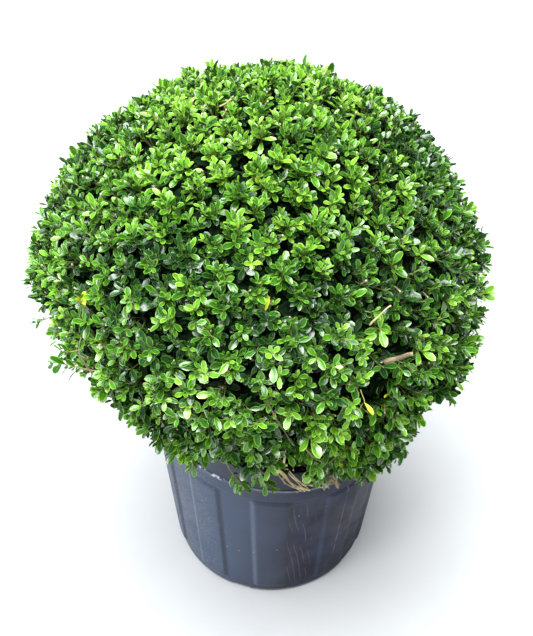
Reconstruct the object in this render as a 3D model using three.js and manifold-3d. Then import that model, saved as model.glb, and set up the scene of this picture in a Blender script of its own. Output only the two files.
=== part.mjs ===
// Potted Japanese holly: an evergreen shrub clipped to a ball, on a short trunk in a ribbed nursery pot.
// Millimetres, +Z up. The origin is the middle of the pot's flat underside. The plant's front faces -Y.
import * as THREE from "three";
import { mergeVertices } from "three/addons/utils/BufferGeometryUtils.js";
import Module from "manifold-3d";

const wasm = await Module();
wasm.setup();

// Driving dimensions

const GAP = 0.3; // clearance between neighbouring pieces
const WELD = 0.002; // corners of a finished piece nearer than this become one
const MERGE = 1e-4; // corners of a plain shape nearer than this are the same
const SEED = 20311;

const POT = {
  height: 338,
  collarHeight: 38, // folded rim over the lip
  collarLean: 1, // of its top edge, inwards
  rimRadius: 176, // outer edge of the lip
  ovalSqueeze: 8.5, // how far the lip is out of round, fading to nothing at the foot
  ovalTurn: 42, // azimuth of the lip's long way
  footRadius: 150,
  wall: 3.4,
  floor: 4,
  footChamfer: 4,
  lipHeight: 6,
  lipOverhang: 2,
  bandHeight: 27, // plain band under the lip
  bandStep: 3,
  sides: 40,
  panels: 10, // raised flat staves round the wall
  panelAngle: 18,
  panelRelief: 3,
  panelFoot: 18,
  panelHead: 4, // below the band
  panelTurn: 0,
  drains: 5, // slots at the foot, in every second flute
  drainWidth: 30,
  drainHeight: 9,
  drainDepth: 20,
};
const LIP_LEVEL = POT.height - POT.collarHeight;
const BAND_FOOT = LIP_LEVEL - POT.bandHeight;

const SOIL = {
  edgeLevel: 286,
  slopeLevel: 288.5,
  slopeRadius: 102,
  neckLevel: 294, // flat round the trunk's foot
  neckRadius: 60,
  sideClearance: 1.1,
};

const TRUNK = {
  height: 86,
  footRadius: 34,
  neckRadius: 21,
  topRadius: 17,
  flareHeight: 42,
  rootLobes: 5,
  lobeDepth: 0.14,
  leanX: -8,
  leanY: 5,
  sides: 15,
  rings: [0, 0.08, 0.2, 0.38, 0.62, 0.86, 1], // shares of the height
};

// Outline of the clipped ball: two superellipse quarters, on an axis that swings sideways below the equator.
const CROWN = {
  radius: 293,
  equator: 570,
  top: 812,
  skirtRadius: 150,
  skirtLevel: 270,
  upperPower: 1.81,
  lowerPower: 1.28,
  axisX: -10,
  skirtShiftX: 32,
};

// Dense shell under the leaves: its outer and inner face, its shallow lumps and the seam between two masses.
const CORE = {
  outerDepth: 44,
  innerDepth: 70,
  hemDepth: 33, // the outer face comes nearer to the clipped face at the skirt's hem
  hemShare: 0.22,
  lump: 4,
  lumpsRound: 9,
  lumpsAlong: 5,
  seam: 1.2,
  segments: 4, // across and along a mass
  topSides: 16,
};

// Rows of masses as shares of the outline's length, from the skirt's hem to the crown's middle.
const ROWS = [
  { name: "skirt", from: 0.095, to: 0.41, count: 6, turn: 30, rise: 8, leaveAt: 0.34 },
  { name: "shoulder", from: 0.41, to: 0.79, count: 6, turn: 0, rise: 42, leaveAt: 0.72 },
  { name: "crown", from: 0.79, to: 1, count: 1, turn: 0, rise: 90, leaveAt: 1 },
];

const BOUGH = {
  footRadius: 7.5,
  leaderRadius: 11,
  tipRadius: 4.2,
  sides: 5,
  steps: 5,
  leavingRise: 0.8, // upward share of the way it leaves the trunk
  bend: 0.35, // length of the curve's handles as a share of the span
};
const STEM = { length: 30, bedded: 18, endRadius: 3.4 }; // carries a mass on from its bough's tip

const SPRAY = {
  count: 136,
  hem: 0.1, // share of the outline where the lowest shoots grow
  bedded: 12,
  shortest: 0.4, // reach as a share of the way out
  longest: 0.62,
  radius: 2.5,
  tipRadius: 2,
  jitter: 24,
  tilt: 0.3,
  lift: 0.25,
};
const LEAF = {
  length: 56,
  width: 31,
  thickness: 2.2,
  widestAt: 0.55, // shares of the length
  bluntAt: 0.95,
  bluntWidth: 0.5, // share of the width
  lift: 1.9, // of its edges over its midrib
  sunk: 0.3, // past the twig's middle
  stagger: 1.2, // between the two leaves of a pair, along the twig
  pairsAt: [0.68, 0.9], // shares of the twig
  spreads: [68, 46], // angle off the twig, for each pair
  spreadPlay: 14,
  smallest: 0.86,
  largest: 1.12,
  clearance: 1.8, // to the edge of its mass's space
};
const LEAF_SIZES = [1, 0.8, 0.62]; // the largest that keeps to its space is grown

// Colours read by eye
const LOOKS = {
  pot: { color: 0x3b404b, roughness: 0.62, metalness: 0 },
  soil: { color: 0x2a231d, roughness: 0.95, metalness: 0 },
  bark: { color: 0x7a6a55, roughness: 0.85, metalness: 0 },
  leaf: { color: 0x4f9230, roughness: 0.4, metalness: 0 },
};

// Small tools

const radians = THREE.MathUtils.degToRad;
const lerp = THREE.MathUtils.lerp;
const UP = new THREE.Vector3(0, 0, 1);

// Repeatable random numbers from 0 to 1.
function dice(seed) {
  let state = seed >>> 0;
  return () => {
    state = (state + 0x6d2b79f5) >>> 0;
    let t = Math.imul(state ^ (state >>> 15), 1 | state);
    t = (t + Math.imul(t ^ (t >>> 7), 61 | t)) ^ t;
    return ((t ^ (t >>> 14)) >>> 0) / 4294967296;
  };
}

// Direction of an azimuth: 0 faces the front, -Y, and 90 faces right, +X.
function facing(azimuth) {
  return new THREE.Vector3(Math.sin(radians(azimuth)), -Math.cos(radians(azimuth)), 0);
}

// Closed geometry as a solid that can be joined and cut.
function solid(geometry) {
  const bare = geometry.clone();
  bare.deleteAttribute("normal");
  bare.deleteAttribute("uv");
  const merged = mergeVertices(bare, MERGE);
  const mesh = new wasm.Mesh({
    numProp: 3,
    vertProperties: new Float32Array(merged.attributes.position.array),
    triVerts: new Uint32Array(merged.index.array),
  });
  return new wasm.Manifold(mesh);
}

// The largest body of a solid, without sealed hollows or loose scraps, its hair-fine edges welded shut.
function geometryOf(body) {
  const whole = body.decompose().reduce((a, b) => (b.volume() > a.volume() ? b : a));
  const mesh = whole.getMesh();
  const cut = new THREE.BufferGeometry();
  cut.setAttribute("position", new THREE.BufferAttribute(new Float32Array(mesh.vertProperties), 3));
  cut.setIndex(new THREE.BufferAttribute(new Uint32Array(mesh.triVerts), 1));
  const welded = mergeVertices(cut, WELD);
  const corners = Array.from(welded.index.array);
  const faces = [];
  for (let i = 0; i < corners.length; i += 3) {
    const face = corners.slice(i, i + 3);
    if (new Set(face).size === 3) faces.push(...face);
  }
  welded.setIndex(faces);
  welded.computeVertexNormals();
  return welded;
}

function piece(name, geometry, look) {
  const mesh = new THREE.Mesh(geometry, new THREE.MeshStandardMaterial(look));
  mesh.name = name;
  return mesh;
}

// Closed skin over rings of equal length, with flat ends. A ring runs anticlockwise seen from the far end.
function loft(rings) {
  const sides = rings[0].length;
  const last = (rings.length - 1) * sides;
  const faces = [];
  for (let side = 0; side < sides; side++) {
    const next = (side + 1) % sides;
    for (let ring = 0; ring < rings.length - 1; ring++) {
      const a = ring * sides + side;
      const b = ring * sides + next;
      faces.push(a, b, b + sides, a, b + sides, a + sides);
    }
    if (side > 0 && next > 0) faces.push(0, next, side, last, last + side, last + next);
  }
  return indexed(rings.flat(), faces);
}

function indexed(points, faces) {
  const geometry = new THREE.BufferGeometry().setFromPoints(points);
  geometry.setIndex(faces);
  return geometry;
}

// Tapering limb along a curve.
function limb(curve, footRadius, tipRadius, sides, steps) {
  const frames = curve.computeFrenetFrames(steps, false);
  const rings = [];
  for (let step = 0; step <= steps; step++) {
    const radius = lerp(footRadius, tipRadius, step / steps);
    const middle = curve.getPointAt(step / steps);
    rings.push(circle(middle, frames.normals[step], frames.binormals[step], radius, sides));
  }
  return loft(rings);
}

function circle(middle, across, beside, radius, sides) {
  return Array.from({ length: sides }, (_, side) => {
    const angle = (2 * Math.PI * side) / sides;
    return middle
      .clone()
      .addScaledVector(across, radius * Math.cos(angle))
      .addScaledVector(beside, radius * Math.sin(angle));
  });
}

// Solid of revolution about Z from radius and height pairs, with a flat on its first side.
function turned(profile, sides = POT.sides) {
  const points = profile.map(([radius, height]) => new THREE.Vector2(radius, height));
  return new THREE.LatheGeometry(points, sides).rotateX(Math.PI / 2);
}

// Pot

// Outer radius of the plain wall at a height.
function wallRadius(height) {
  const wallTop = POT.rimRadius - POT.lipOverhang - POT.bandStep;
  return lerp(POT.footRadius, wallTop, height / BAND_FOOT);
}

function potShell() {
  const lipFoot = LIP_LEVEL - POT.lipHeight;
  const band = POT.rimRadius - POT.lipOverhang;
  const collarTop = band - POT.collarLean;
  return turned([
    [0, 0],
    [POT.footRadius - POT.footChamfer, 0],
    [wallRadius(POT.footChamfer), POT.footChamfer],
    [wallRadius(BAND_FOOT), BAND_FOOT - POT.bandStep],
    [band, BAND_FOOT],
    [band, lipFoot],
    [POT.rimRadius, lipFoot + POT.lipOverhang],
    [POT.rimRadius, LIP_LEVEL],
    [band, LIP_LEVEL + POT.lipOverhang],
    [collarTop, POT.height],
    [collarTop - POT.wall, POT.height],
    [band - POT.wall, LIP_LEVEL],
    [band - POT.wall, BAND_FOOT],
    [wallRadius(BAND_FOOT) - POT.wall, BAND_FOOT - POT.bandStep],
    [wallRadius(POT.floor) - POT.wall, POT.floor],
    [0, POT.floor],
  ]);
}

// Wedge between two azimuths, clear of the axis.
function wedge(azimuth, angle, inner, outer, height) {
  const corners = [
    [inner, -angle / 2],
    [outer, -angle / 2],
    [outer, angle / 2],
    [inner, angle / 2],
  ].map(([radius, turn]) => facing(azimuth + turn).multiplyScalar(radius));
  const shape = new THREE.Shape(corners.map((p) => new THREE.Vector2(p.x, p.y)));
  return new THREE.ExtrudeGeometry(shape, { depth: height, bevelEnabled: false });
}

function potPanels() {
  const foot = POT.panelFoot;
  const head = BAND_FOOT - POT.bandStep - POT.panelHead;
  const slope = POT.panelRelief;
  const ring = solid(
    turned([
      [wallRadius(foot) - POT.wall / 2, foot],
      [wallRadius(foot), foot],
      [wallRadius(foot + slope) + POT.panelRelief, foot + slope],
      [wallRadius(head - slope) + POT.panelRelief, head - slope],
      [wallRadius(head), head],
      [wallRadius(head) - POT.wall / 2, head],
      [wallRadius(foot) - POT.wall / 2, foot],
    ]),
  );
  const reach = POT.rimRadius * 1.2;
  const step = 360 / POT.panels;
  const wedges = Array.from({ length: POT.panels }, (_, panel) =>
    solid(wedge(POT.panelTurn + panel * step, POT.panelAngle, POT.footRadius / 2, reach, POT.height)),
  );
  return ring.intersect(wedges.reduce((a, b) => a.add(b)));
}

// Slots through the corner of wall and floor, in the middle of a flute.
function potDrains() {
  const flute = POT.panelTurn - 180 / POT.panels;
  const slots = Array.from({ length: POT.drains }, (_, drain) => {
    const azimuth = flute + (drain * 360) / POT.drains;
    const slot = new THREE.BoxGeometry(POT.drainDepth, POT.drainWidth, 2 * POT.drainHeight);
    slot.translate(POT.footRadius, 0, 0).rotateZ(radians(azimuth - 90));
    return solid(slot);
  });
  return slots.reduce((a, b) => a.add(b));
}

// Pushes a round piece of the pot out of round, more with height.
function squeezed(geometry) {
  const position = geometry.attributes.position;
  for (let i = 0; i < position.count; i++) {
    const spot = new THREE.Vector3().fromBufferAttribute(position, i);
    const azimuth = Math.atan2(spot.x, -spot.y);
    const shift = POT.ovalSqueeze * (spot.z / LIP_LEVEL) * Math.cos(2 * (azimuth - radians(POT.ovalTurn)));
    const radius = Math.hypot(spot.x, spot.y);
    const share = Math.min(1, radius / POT.footRadius);
    const grow = radius > 0 ? 1 + (share * shift) / radius : 1;
    position.setXY(i, spot.x * grow, spot.y * grow);
  }
  return geometry;
}

function pot() {
  const whole = solid(potShell()).add(potPanels()).subtract(potDrains());
  return piece("pot", squeezed(geometryOf(whole)), LOOKS.pot);
}

// Potting mix

function soil() {
  const foot = POT.floor + GAP;
  const inner = (height) => wallRadius(height) - POT.wall - SOIL.sideClearance;
  const fill = turned([
    [0, foot],
    [inner(foot), foot],
    [inner(SOIL.edgeLevel), SOIL.edgeLevel],
    [SOIL.slopeRadius, SOIL.slopeLevel],
    [SOIL.neckRadius, SOIL.neckLevel],
    [0, SOIL.neckLevel],
  ]);
  return piece("potting_mix", squeezed(geometryOf(solid(fill))), LOOKS.soil);
}

// Trunk

function trunkAxis(share) {
  const foot = SOIL.neckLevel + GAP;
  return new THREE.Vector3(TRUNK.leanX * share, TRUNK.leanY * share, foot + TRUNK.height * share);
}

function trunkRadius(share) {
  const flare = Math.max(0, 1 - (share * TRUNK.height) / TRUNK.flareHeight) ** 2;
  return lerp(TRUNK.neckRadius, TRUNK.topRadius, share) + (TRUNK.footRadius - TRUNK.neckRadius) * flare;
}

// The trunk's skin, grown by a clearance where a bough is cut to fit it.
function trunkSkin(grow = 0) {
  const rings = TRUNK.rings.map((share) => {
    const flare = Math.max(0, 1 - (share * TRUNK.height) / TRUNK.flareHeight);
    return Array.from({ length: TRUNK.sides }, (_, side) => {
      const angle = (2 * Math.PI * side) / TRUNK.sides;
      const lobe = 1 + TRUNK.lobeDepth * flare * Math.cos(TRUNK.rootLobes * angle);
      const radius = trunkRadius(share) * lobe + grow;
      return trunkAxis(share).add(new THREE.Vector3(radius * Math.cos(angle), radius * Math.sin(angle), 0));
    });
  });
  rings.at(-1).forEach((p) => (p.z += grow));
  return loft(rings);
}

function trunk() {
  return piece("trunk", trunkSkin(), LOOKS.bark);
}

// Outline of the crown

// Half outline as radius and height, from the skirt's hem (-90) over the equator (0) to the top (90).
function outlineAt(turn) {
  const upper = turn >= 0;
  const power = 2 / (upper ? CROWN.upperPower : CROWN.lowerPower);
  const out = Math.max(0, Math.cos(radians(turn))) ** power;
  const along = Math.abs(Math.sin(radians(turn))) ** power;
  const innerRadius = upper ? 0 : CROWN.skirtRadius;
  const endLevel = upper ? CROWN.top : CROWN.skirtLevel;
  return new THREE.Vector2(lerp(innerRadius, CROWN.radius, out), lerp(CROWN.equator, endLevel, along));
}

const OUTLINE_STEPS = 60;
const outlineTurns = Array.from({ length: OUTLINE_STEPS + 1 }, (_, i) => (180 * i) / OUTLINE_STEPS - 90);
const outline = new THREE.SplineCurve(outlineTurns.map(outlineAt));
outline.arcLengthDivisions = 4 * OUTLINE_STEPS;

// Sideways place of the crown's axis at a height.
function axisX(height) {
  const below = Math.max(0, CROWN.equator - height) / (CROWN.equator - CROWN.skirtLevel);
  return CROWN.axisX + CROWN.skirtShiftX * Math.min(1, below);
}

// Point of the crown at an azimuth, a share of the outline and a depth under it.
function crownPoint(azimuth, share, depth) {
  const at = outline.getPointAt(share);
  const along = outline.getTangentAt(share);
  const radius = Math.max(0, at.x - along.y * depth);
  const height = at.y + along.x * depth;
  return facing(azimuth)
    .multiplyScalar(radius)
    .add(new THREE.Vector3(axisX(height), 0, height));
}

// Outward direction of the clipped face.
function crownNormal(azimuth, share) {
  const along = outline.getTangentAt(share);
  return facing(azimuth).multiplyScalar(along.y).addScaledVector(UP, -along.x).normalize();
}

const SAMPLES = 240;
const samples = Array.from({ length: SAMPLES + 1 }, (_, i) => outline.getPointAt(i / SAMPLES));

// Azimuth, share of the outline and depth of a point, the reverse of crownPoint.
function locate(point) {
  const x = point.x - axisX(point.z);
  const flat = new THREE.Vector2(Math.hypot(x, point.y), point.z);
  let nearest = 0;
  samples.forEach((sample, i) => {
    if (sample.distanceToSquared(flat) < samples[nearest].distanceToSquared(flat)) nearest = i;
  });
  const share = nearest / SAMPLES;
  const along = outline.getTangentAt(share);
  const offset = flat.clone().sub(samples[nearest]);
  return {
    azimuth: THREE.MathUtils.radToDeg(Math.atan2(x, -point.y)),
    radius: flat.x,
    share,
    depth: -(offset.x * along.y - offset.y * along.x),
  };
}

// Masses of foliage

// Every mass of the crown with the part of the outline that it keeps to.
const masses = ROWS.flatMap((row) =>
  Array.from({ length: row.count }, (_, index) => ({
    ...row,
    label: row.count > 1 ? `${row.name}_${index + 1}` : row.name,
    azimuth: row.turn + (360 * index) / row.count,
    halfAngle: 180 / row.count,
    middle: row.count > 1 ? (row.from + row.to) / 2 : row.to,
  })),
);

function turnBetween(a, b) {
  return THREE.MathUtils.euclideanModulo(a - b + 180, 360) - 180;
}

// Whether a point lies in a mass's own space, clear of its seams, of the clipped face and of the pot's rim.
function inSpace(mass, point) {
  const place = locate(point);
  const clearance = LEAF.clearance;
  const shareClearance = clearance / outline.getLength();
  const overPot = Math.hypot(point.x, point.y) < POT.rimRadius + 2 * POT.ovalSqueeze;
  if (overPot && point.z < POT.height + 2 * clearance) return false;
  if (place.share < mass.from + shareClearance || place.depth < 0) return false;
  if (mass.count === 1) return true;
  const off = radians(mass.halfAngle - Math.abs(turnBetween(place.azimuth, mass.azimuth)));
  return place.share < mass.to - shareClearance && place.radius * Math.sin(off) > clearance;
}

// Depth of the shell's outer face, with shallow lumps round and along the crown.
function coreDepth(azimuth, share) {
  const lump = Math.sin(radians(azimuth) * CORE.lumpsRound) * Math.sin(2 * Math.PI * CORE.lumpsAlong * share);
  const level = lerp(CORE.hemDepth, CORE.outerDepth, THREE.MathUtils.smoothstep(share, 0, CORE.hemShare));
  return level + CORE.lump * lump;
}

// Curved slab of the shell that fills a mass's space, less half a seam all round.
function slab(mass) {
  const block = new THREE.BoxGeometry(2, 2, 1, CORE.segments, CORE.segments, 1);
  const position = block.attributes.position;
  const seamShare = CORE.seam / 2 / outline.getLength();
  for (let i = 0; i < position.count; i++) {
    const [across, along, face] = [position.getX(i), position.getY(i), position.getZ(i)];
    const share = lerp(mass.from + seamShare, mass.to - seamShare, (along + 1) / 2);
    const radius = outline.getPointAt(share).x - CORE.innerDepth;
    const seamAngle = THREE.MathUtils.radToDeg(CORE.seam / 2 / Math.max(radius, CORE.innerDepth));
    const azimuth = mass.azimuth + across * (mass.halfAngle - seamAngle);
    const depth = face > 0 ? coreDepth(azimuth, share) : CORE.innerDepth;
    position.setXYZ(i, ...crownPoint(azimuth, share, depth).toArray());
  }
  return solid(block);
}

// Round slab at the crown's top, turned about the crown's axis.
function topSlab(mass) {
  const steps = CORE.segments;
  const seamShare = CORE.seam / 2 / outline.getLength();
  const face = (depth) =>
    Array.from({ length: steps + 1 }, (_, step) => {
      const spot = crownPoint(90, lerp(mass.from + seamShare, 1, step / steps), depth);
      return [step < steps ? spot.x - CROWN.axisX : 0, spot.z];
    });
  const outer = face(CORE.outerDepth);
  const inner = face(CORE.innerDepth).reverse();
  return solid(turned([...inner, ...outer], CORE.topSides).translate(CROWN.axisX, 0, 0));
}

// Direction in which a mass's stem runs outwards, and the stem's inner end.
function stemOf(mass) {
  const out = facing(mass.azimuth)
    .multiplyScalar(Math.cos(radians(mass.rise)))
    .addScaledVector(UP, Math.sin(radians(mass.rise)));
  const bed = crownPoint(mass.azimuth, mass.middle, CORE.innerDepth);
  const root = bed.clone().addScaledVector(out, -STEM.length);
  return { out, bed, root };
}

function stem(mass) {
  const { out, bed, root } = stemOf(mass);
  const end = bed.clone().addScaledVector(out, STEM.bedded);
  return solid(limb(new THREE.LineCurve3(root, end), BOUGH.tipRadius, STEM.endRadius, BOUGH.sides, 1));
}

// Leaf with a blunt, egg-shaped outline, widest past its middle, flat above and keeled below.
function leaf(root, out, face, size) {
  const side = new THREE.Vector3().crossVectors(out, face).normalize();
  const upper = new THREE.Vector3().crossVectors(side, out).normalize();
  const length = LEAF.length * size;
  const half = (LEAF.width * size) / 2;
  const blunt = half * LEAF.bluntWidth;
  const spot = (along, across, above) =>
    root
      .clone()
      .addScaledVector(out, along * length - LEAF.sunk)
      .addScaledVector(side, across)
      .addScaledVector(upper, above);
  const points = [
    spot(0, 0, 0),
    spot(LEAF.widestAt, half, LEAF.lift),
    spot(LEAF.bluntAt, blunt, LEAF.lift / 2),
    spot(LEAF.bluntAt, -blunt, LEAF.lift / 2),
    spot(LEAF.widestAt, -half, LEAF.lift),
    spot(LEAF.widestAt, 0, -LEAF.thickness / 2),
  ];
  const upperFaces = [0, 1, 4, 1, 2, 4, 2, 3, 4];
  const underFaces = [5, 1, 0, 5, 2, 1, 5, 3, 2, 5, 4, 3, 5, 0, 4];
  return { points, body: solid(indexed(points, [...upperFaces, ...underFaces])) };
}

// Leafy shoot: a square twig from inside the shell to near the clipped face, with crossed pairs of leaves.
function spray(mass, azimuth, share, roll, taken) {
  const out = crownNormal(azimuth, share)
    .add(new THREE.Vector3(roll() - 0.5, roll() - 0.5, roll() - 0.5).multiplyScalar(2 * SPRAY.tilt))
    .addScaledVector(UP, SPRAY.lift * roll())
    .normalize();
  const footDepth = coreDepth(azimuth, share) + SPRAY.bedded;
  const foot = crownPoint(azimuth, share, footDepth);
  const reach = footDepth * lerp(SPRAY.shortest, SPRAY.longest, roll());
  const tip = foot.clone().addScaledVector(out, reach);
  if (!inSpace(mass, tip) || !inSpace(mass, foot)) return [];
  const across = new THREE.Vector3()
    .crossVectors(out, UP)
    .normalize()
    .applyAxisAngle(out, roll() * Math.PI);
  const corner = across.clone().applyAxisAngle(out, Math.PI / 4);
  const beside = new THREE.Vector3().crossVectors(out, corner);
  const twig = solid(
    loft([circle(foot, corner, beside, SPRAY.radius, 4), circle(tip, corner, beside, SPRAY.tipRadius, 4)]),
  );
  if (taken.some((other) => meets(twig, other))) return [];
  const grown = [];
  LEAF.pairsAt.forEach((at, pair) => {
    for (const half of [0, 1]) {
      const node = foot
        .clone()
        .lerp(tip, at)
        .addScaledVector(out, half * LEAF.stagger);
      const aside = across.clone().applyAxisAngle(out, (pair / 2 + half) * Math.PI);
      const spread = radians(LEAF.spreads[pair] + LEAF.spreadPlay * (roll() - 0.5));
      const along = out.clone().multiplyScalar(Math.cos(spread)).addScaledVector(aside, Math.sin(spread));
      const size = lerp(LEAF.smallest, LEAF.largest, roll());
      const made = LEAF_SIZES.map((part) => leaf(node, along, out, size * part)).find((trial) =>
        hasRoom(mass, trial, taken),
      );
      if (made) grown.push(made.body);
    }
  });
  taken.push(twig, ...grown);
  return [twig, ...grown];
}

function meets(body, other) {
  return !body.intersect(other).isEmpty();
}

// Whether a leaf keeps to its mass's space, stands out of the shell and clears the other shoots.
function hasRoom(mass, trial, taken) {
  const blade = trial.points.slice(1);
  const fits = blade.every((p) => inSpace(mass, p) && standsOut(p));
  return fits && !taken.some((other) => meets(trial.body, other));
}

function standsOut(point) {
  const { azimuth, share, depth } = locate(point);
  return depth < coreDepth(azimuth, share) - LEAF.clearance;
}

// Shoots spread evenly over the crown's area: turned by the golden angle, with heights dealt by ring area.
function shootSpots() {
  const roll = dice(SEED);
  const rings = samples.map((sample, i) => ({ share: i / SAMPLES, area: sample.x }));
  const usable = rings.filter((ring) => ring.share > SPRAY.hem);
  const whole = usable.reduce((sum, ring) => sum + ring.area, 0);
  const golden = 180 * (3 - Math.sqrt(5));
  return Array.from({ length: SPRAY.count }, (_, index) => {
    let left = ((index + 0.5) / SPRAY.count) * whole;
    const ring = usable.find((candidate) => (left -= candidate.area) <= 0) ?? usable.at(-1);
    const swing = (SPRAY.jitter * (roll() - 0.5)) / Math.max(ring.area, SPRAY.jitter);
    return { share: ring.share, azimuth: index * golden + THREE.MathUtils.radToDeg(swing) };
  });
}

function massAt(spot) {
  return masses.find(
    (mass) =>
      spot.share >= mass.from &&
      (spot.share < mass.to || mass.to === 1) &&
      Math.abs(turnBetween(spot.azimuth, mass.azimuth)) <= mass.halfAngle,
  );
}

function foliage(mass, spots) {
  const roll = dice(SEED + Math.round(1000 * mass.middle) + Math.round(mass.azimuth));
  const core = mass.count > 1 ? slab(mass) : topSlab(mass);
  const shoots = spots.filter((spot) => massAt(spot) === mass);
  const taken = [];
  const bodies = shoots.flatMap((spot) => spray(mass, spot.azimuth, spot.share, roll, taken));
  const whole = bodies.reduce((sum, body) => sum.add(body), core.add(stem(mass)));
  return piece(`foliage_${mass.label}`, geometryOf(whole), LOOKS.leaf);
}

// Boughs

// Limb that leaves the trunk, cut clear of it, and runs to the inner end of its mass's stem.
function bough(mass) {
  const { out, root } = stemOf(mass);
  const tip = root.clone().addScaledVector(out, -GAP);
  const leader = mass.count === 1;
  const foot = trunkAxis(leader ? 1 : mass.leaveAt).addScaledVector(UP, leader ? GAP : 0);
  const span = foot.distanceTo(tip);
  const leaving = leader ? UP : facing(mass.azimuth).addScaledVector(UP, BOUGH.leavingRise).normalize();
  const curve = new THREE.CubicBezierCurve3(
    foot,
    foot.clone().addScaledVector(leaving, span * BOUGH.bend),
    tip.clone().addScaledVector(out, -span * BOUGH.bend),
    tip,
  );
  const footRadius = leader ? BOUGH.leaderRadius : BOUGH.footRadius;
  const whole = solid(limb(curve, footRadius, BOUGH.tipRadius, BOUGH.sides, BOUGH.steps));
  return piece(`bough_${mass.label}`, geometryOf(whole.subtract(solid(trunkSkin(GAP)))), LOOKS.bark);
}

// Assembly

const plant = new THREE.Group();
plant.name = "potted_japanese_holly";

const container = new THREE.Group();
container.add(pot(), soil());

const wood = new THREE.Group();
wood.add(trunk(), ...masses.map(bough));

const spots = shootSpots();
const leaves = new THREE.Group();
leaves.add(...masses.map((mass) => foliage(mass, spots)));

plant.add(container, wood, leaves);

export default plant;
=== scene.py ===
"""Looks of a potted Japanese holly: a shrub clipped to a ball of small leaves, in a ribbed nursery pot.

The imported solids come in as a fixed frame. The pot, the potting mix and the wood get finer skins, and each
mass of foliage gives way to twigs and leaves that grow on from its bough by the rule that placed the solids,
carried to finer twigs under the same clipped outline. Sizes are metres in the part's frame: +Z up, -Y towards
the front.
"""

from __future__ import annotations

import logging
from dataclasses import dataclass, field
from enum import Enum
from functools import cached_property
from typing import Sequence, Union

import bmesh
import bpy
import numpy as np
from numpy.linalg import norm
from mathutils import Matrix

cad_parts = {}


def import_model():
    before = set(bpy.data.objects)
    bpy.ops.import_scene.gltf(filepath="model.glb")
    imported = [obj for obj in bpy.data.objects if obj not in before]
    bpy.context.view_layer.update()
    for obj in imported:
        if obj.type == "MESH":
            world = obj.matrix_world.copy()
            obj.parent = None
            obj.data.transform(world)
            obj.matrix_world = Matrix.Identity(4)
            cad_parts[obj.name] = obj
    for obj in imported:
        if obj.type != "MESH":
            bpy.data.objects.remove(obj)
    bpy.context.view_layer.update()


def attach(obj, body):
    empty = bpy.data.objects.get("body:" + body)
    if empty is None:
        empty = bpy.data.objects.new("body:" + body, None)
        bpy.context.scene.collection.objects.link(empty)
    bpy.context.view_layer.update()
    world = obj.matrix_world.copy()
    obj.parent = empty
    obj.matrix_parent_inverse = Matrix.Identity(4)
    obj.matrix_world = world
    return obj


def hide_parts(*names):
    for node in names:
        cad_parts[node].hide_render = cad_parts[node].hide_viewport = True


LOG = logging.getLogger("potted_holly")
Array = np.ndarray
Pair = tuple[float, float]
Triple = tuple[float, float, float]
Values = tuple[float, ...]
Colour = Triple
Luck = np.random.Generator
Material = bpy.types.Material
Outputs = bpy.types.NodeOutputs
Socket = bpy.types.NodeSocket
Wire = Union[float, tuple, Socket]
Inputs = dict[Union[str, int], Wire]

ROOT = "root"
SEED = 20311
TURN = 2.0 * np.pi
GOLDEN_TURN = np.pi * (3.0 - np.sqrt(5.0))
UP = np.array([0.0, 0.0, 1.0])
EAST = np.array([1.0, 0.0, 0.0])


def unit(vectors: Array) -> Array:
    """Vectors scaled to length one."""
    return vectors / np.maximum(norm(vectors, axis=-1, keepdims=True), 1e-12)


def lerp(low: Array | float, high: Array | float, share: Array | float) -> Array | float:
    """The value that lies a share of the way from low to high."""
    return low + (high - low) * share


def smoothstep(low: float, high: float, value: Array) -> Array:
    """0 below low, 1 above high, and an even S between them."""
    share = np.clip((value - low) / (high - low), 0.0, 1.0)
    return share * share * (3.0 - 2.0 * share)


def facing(azimuth: Array) -> Array:
    """Level directions of azimuths in radians: 0 faces the front, -Y, and a quarter turn faces +X."""
    return np.stack([np.sin(azimuth), -np.cos(azimuth), np.zeros_like(azimuth)], axis=-1)


def azimuth_of(points: Array) -> Array:
    """Azimuths of points about the pot's axis, in radians."""
    return np.arctan2(points[..., 0], -points[..., 1])


def radius_of(points: Array) -> Array:
    """Distances of points from the pot's axis."""
    return np.hypot(points[..., 0], points[..., 1])


def widened(points: Array, scale: Array) -> Array:
    """Points moved level, each to its own multiple of its distance from the pot's axis."""
    return points * np.stack([scale, scale, np.ones_like(scale)], axis=-1)


def run_of(line: Array) -> Array:
    """How far along a bent line each of its points lies."""
    return np.concatenate([[0.0], np.cumsum(norm(np.diff(line, axis=0), axis=1))])


def points_along(line: Array, places: Array) -> Array:
    """Points at some distances along a bent line of radii and levels."""
    return np.stack([np.interp(places, run_of(line), line[:, i]) for i in range(2)], axis=-1)


def even_shares(limbs: int, steps: int) -> Array:
    """The same even steps from 0 to 1 for each of some limbs."""
    return np.linspace(0.0, 1.0, steps)[None].repeat(limbs, axis=0)


def swell(points: Array, span: float, seed: int, waves: int = 9) -> Array:
    """A smooth uneven field from about -1 to 1: the sum of sine waves that run in random directions.

    Args:
        points: Where it is read, as an array of positions.
        span: Length of its waves.
        seed: Which field.
        waves: How many waves it adds up.

    Returns:
        One value for each point.
    """
    rng = np.random.default_rng(seed)
    ways = unit(rng.normal(size=(3, waves)).T).T * (TURN / span) * rng.uniform(0.7, 1.4, waves)
    return np.sin(points @ ways + rng.uniform(0.0, TURN, waves)).sum(-1) / np.sqrt(waves)


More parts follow.
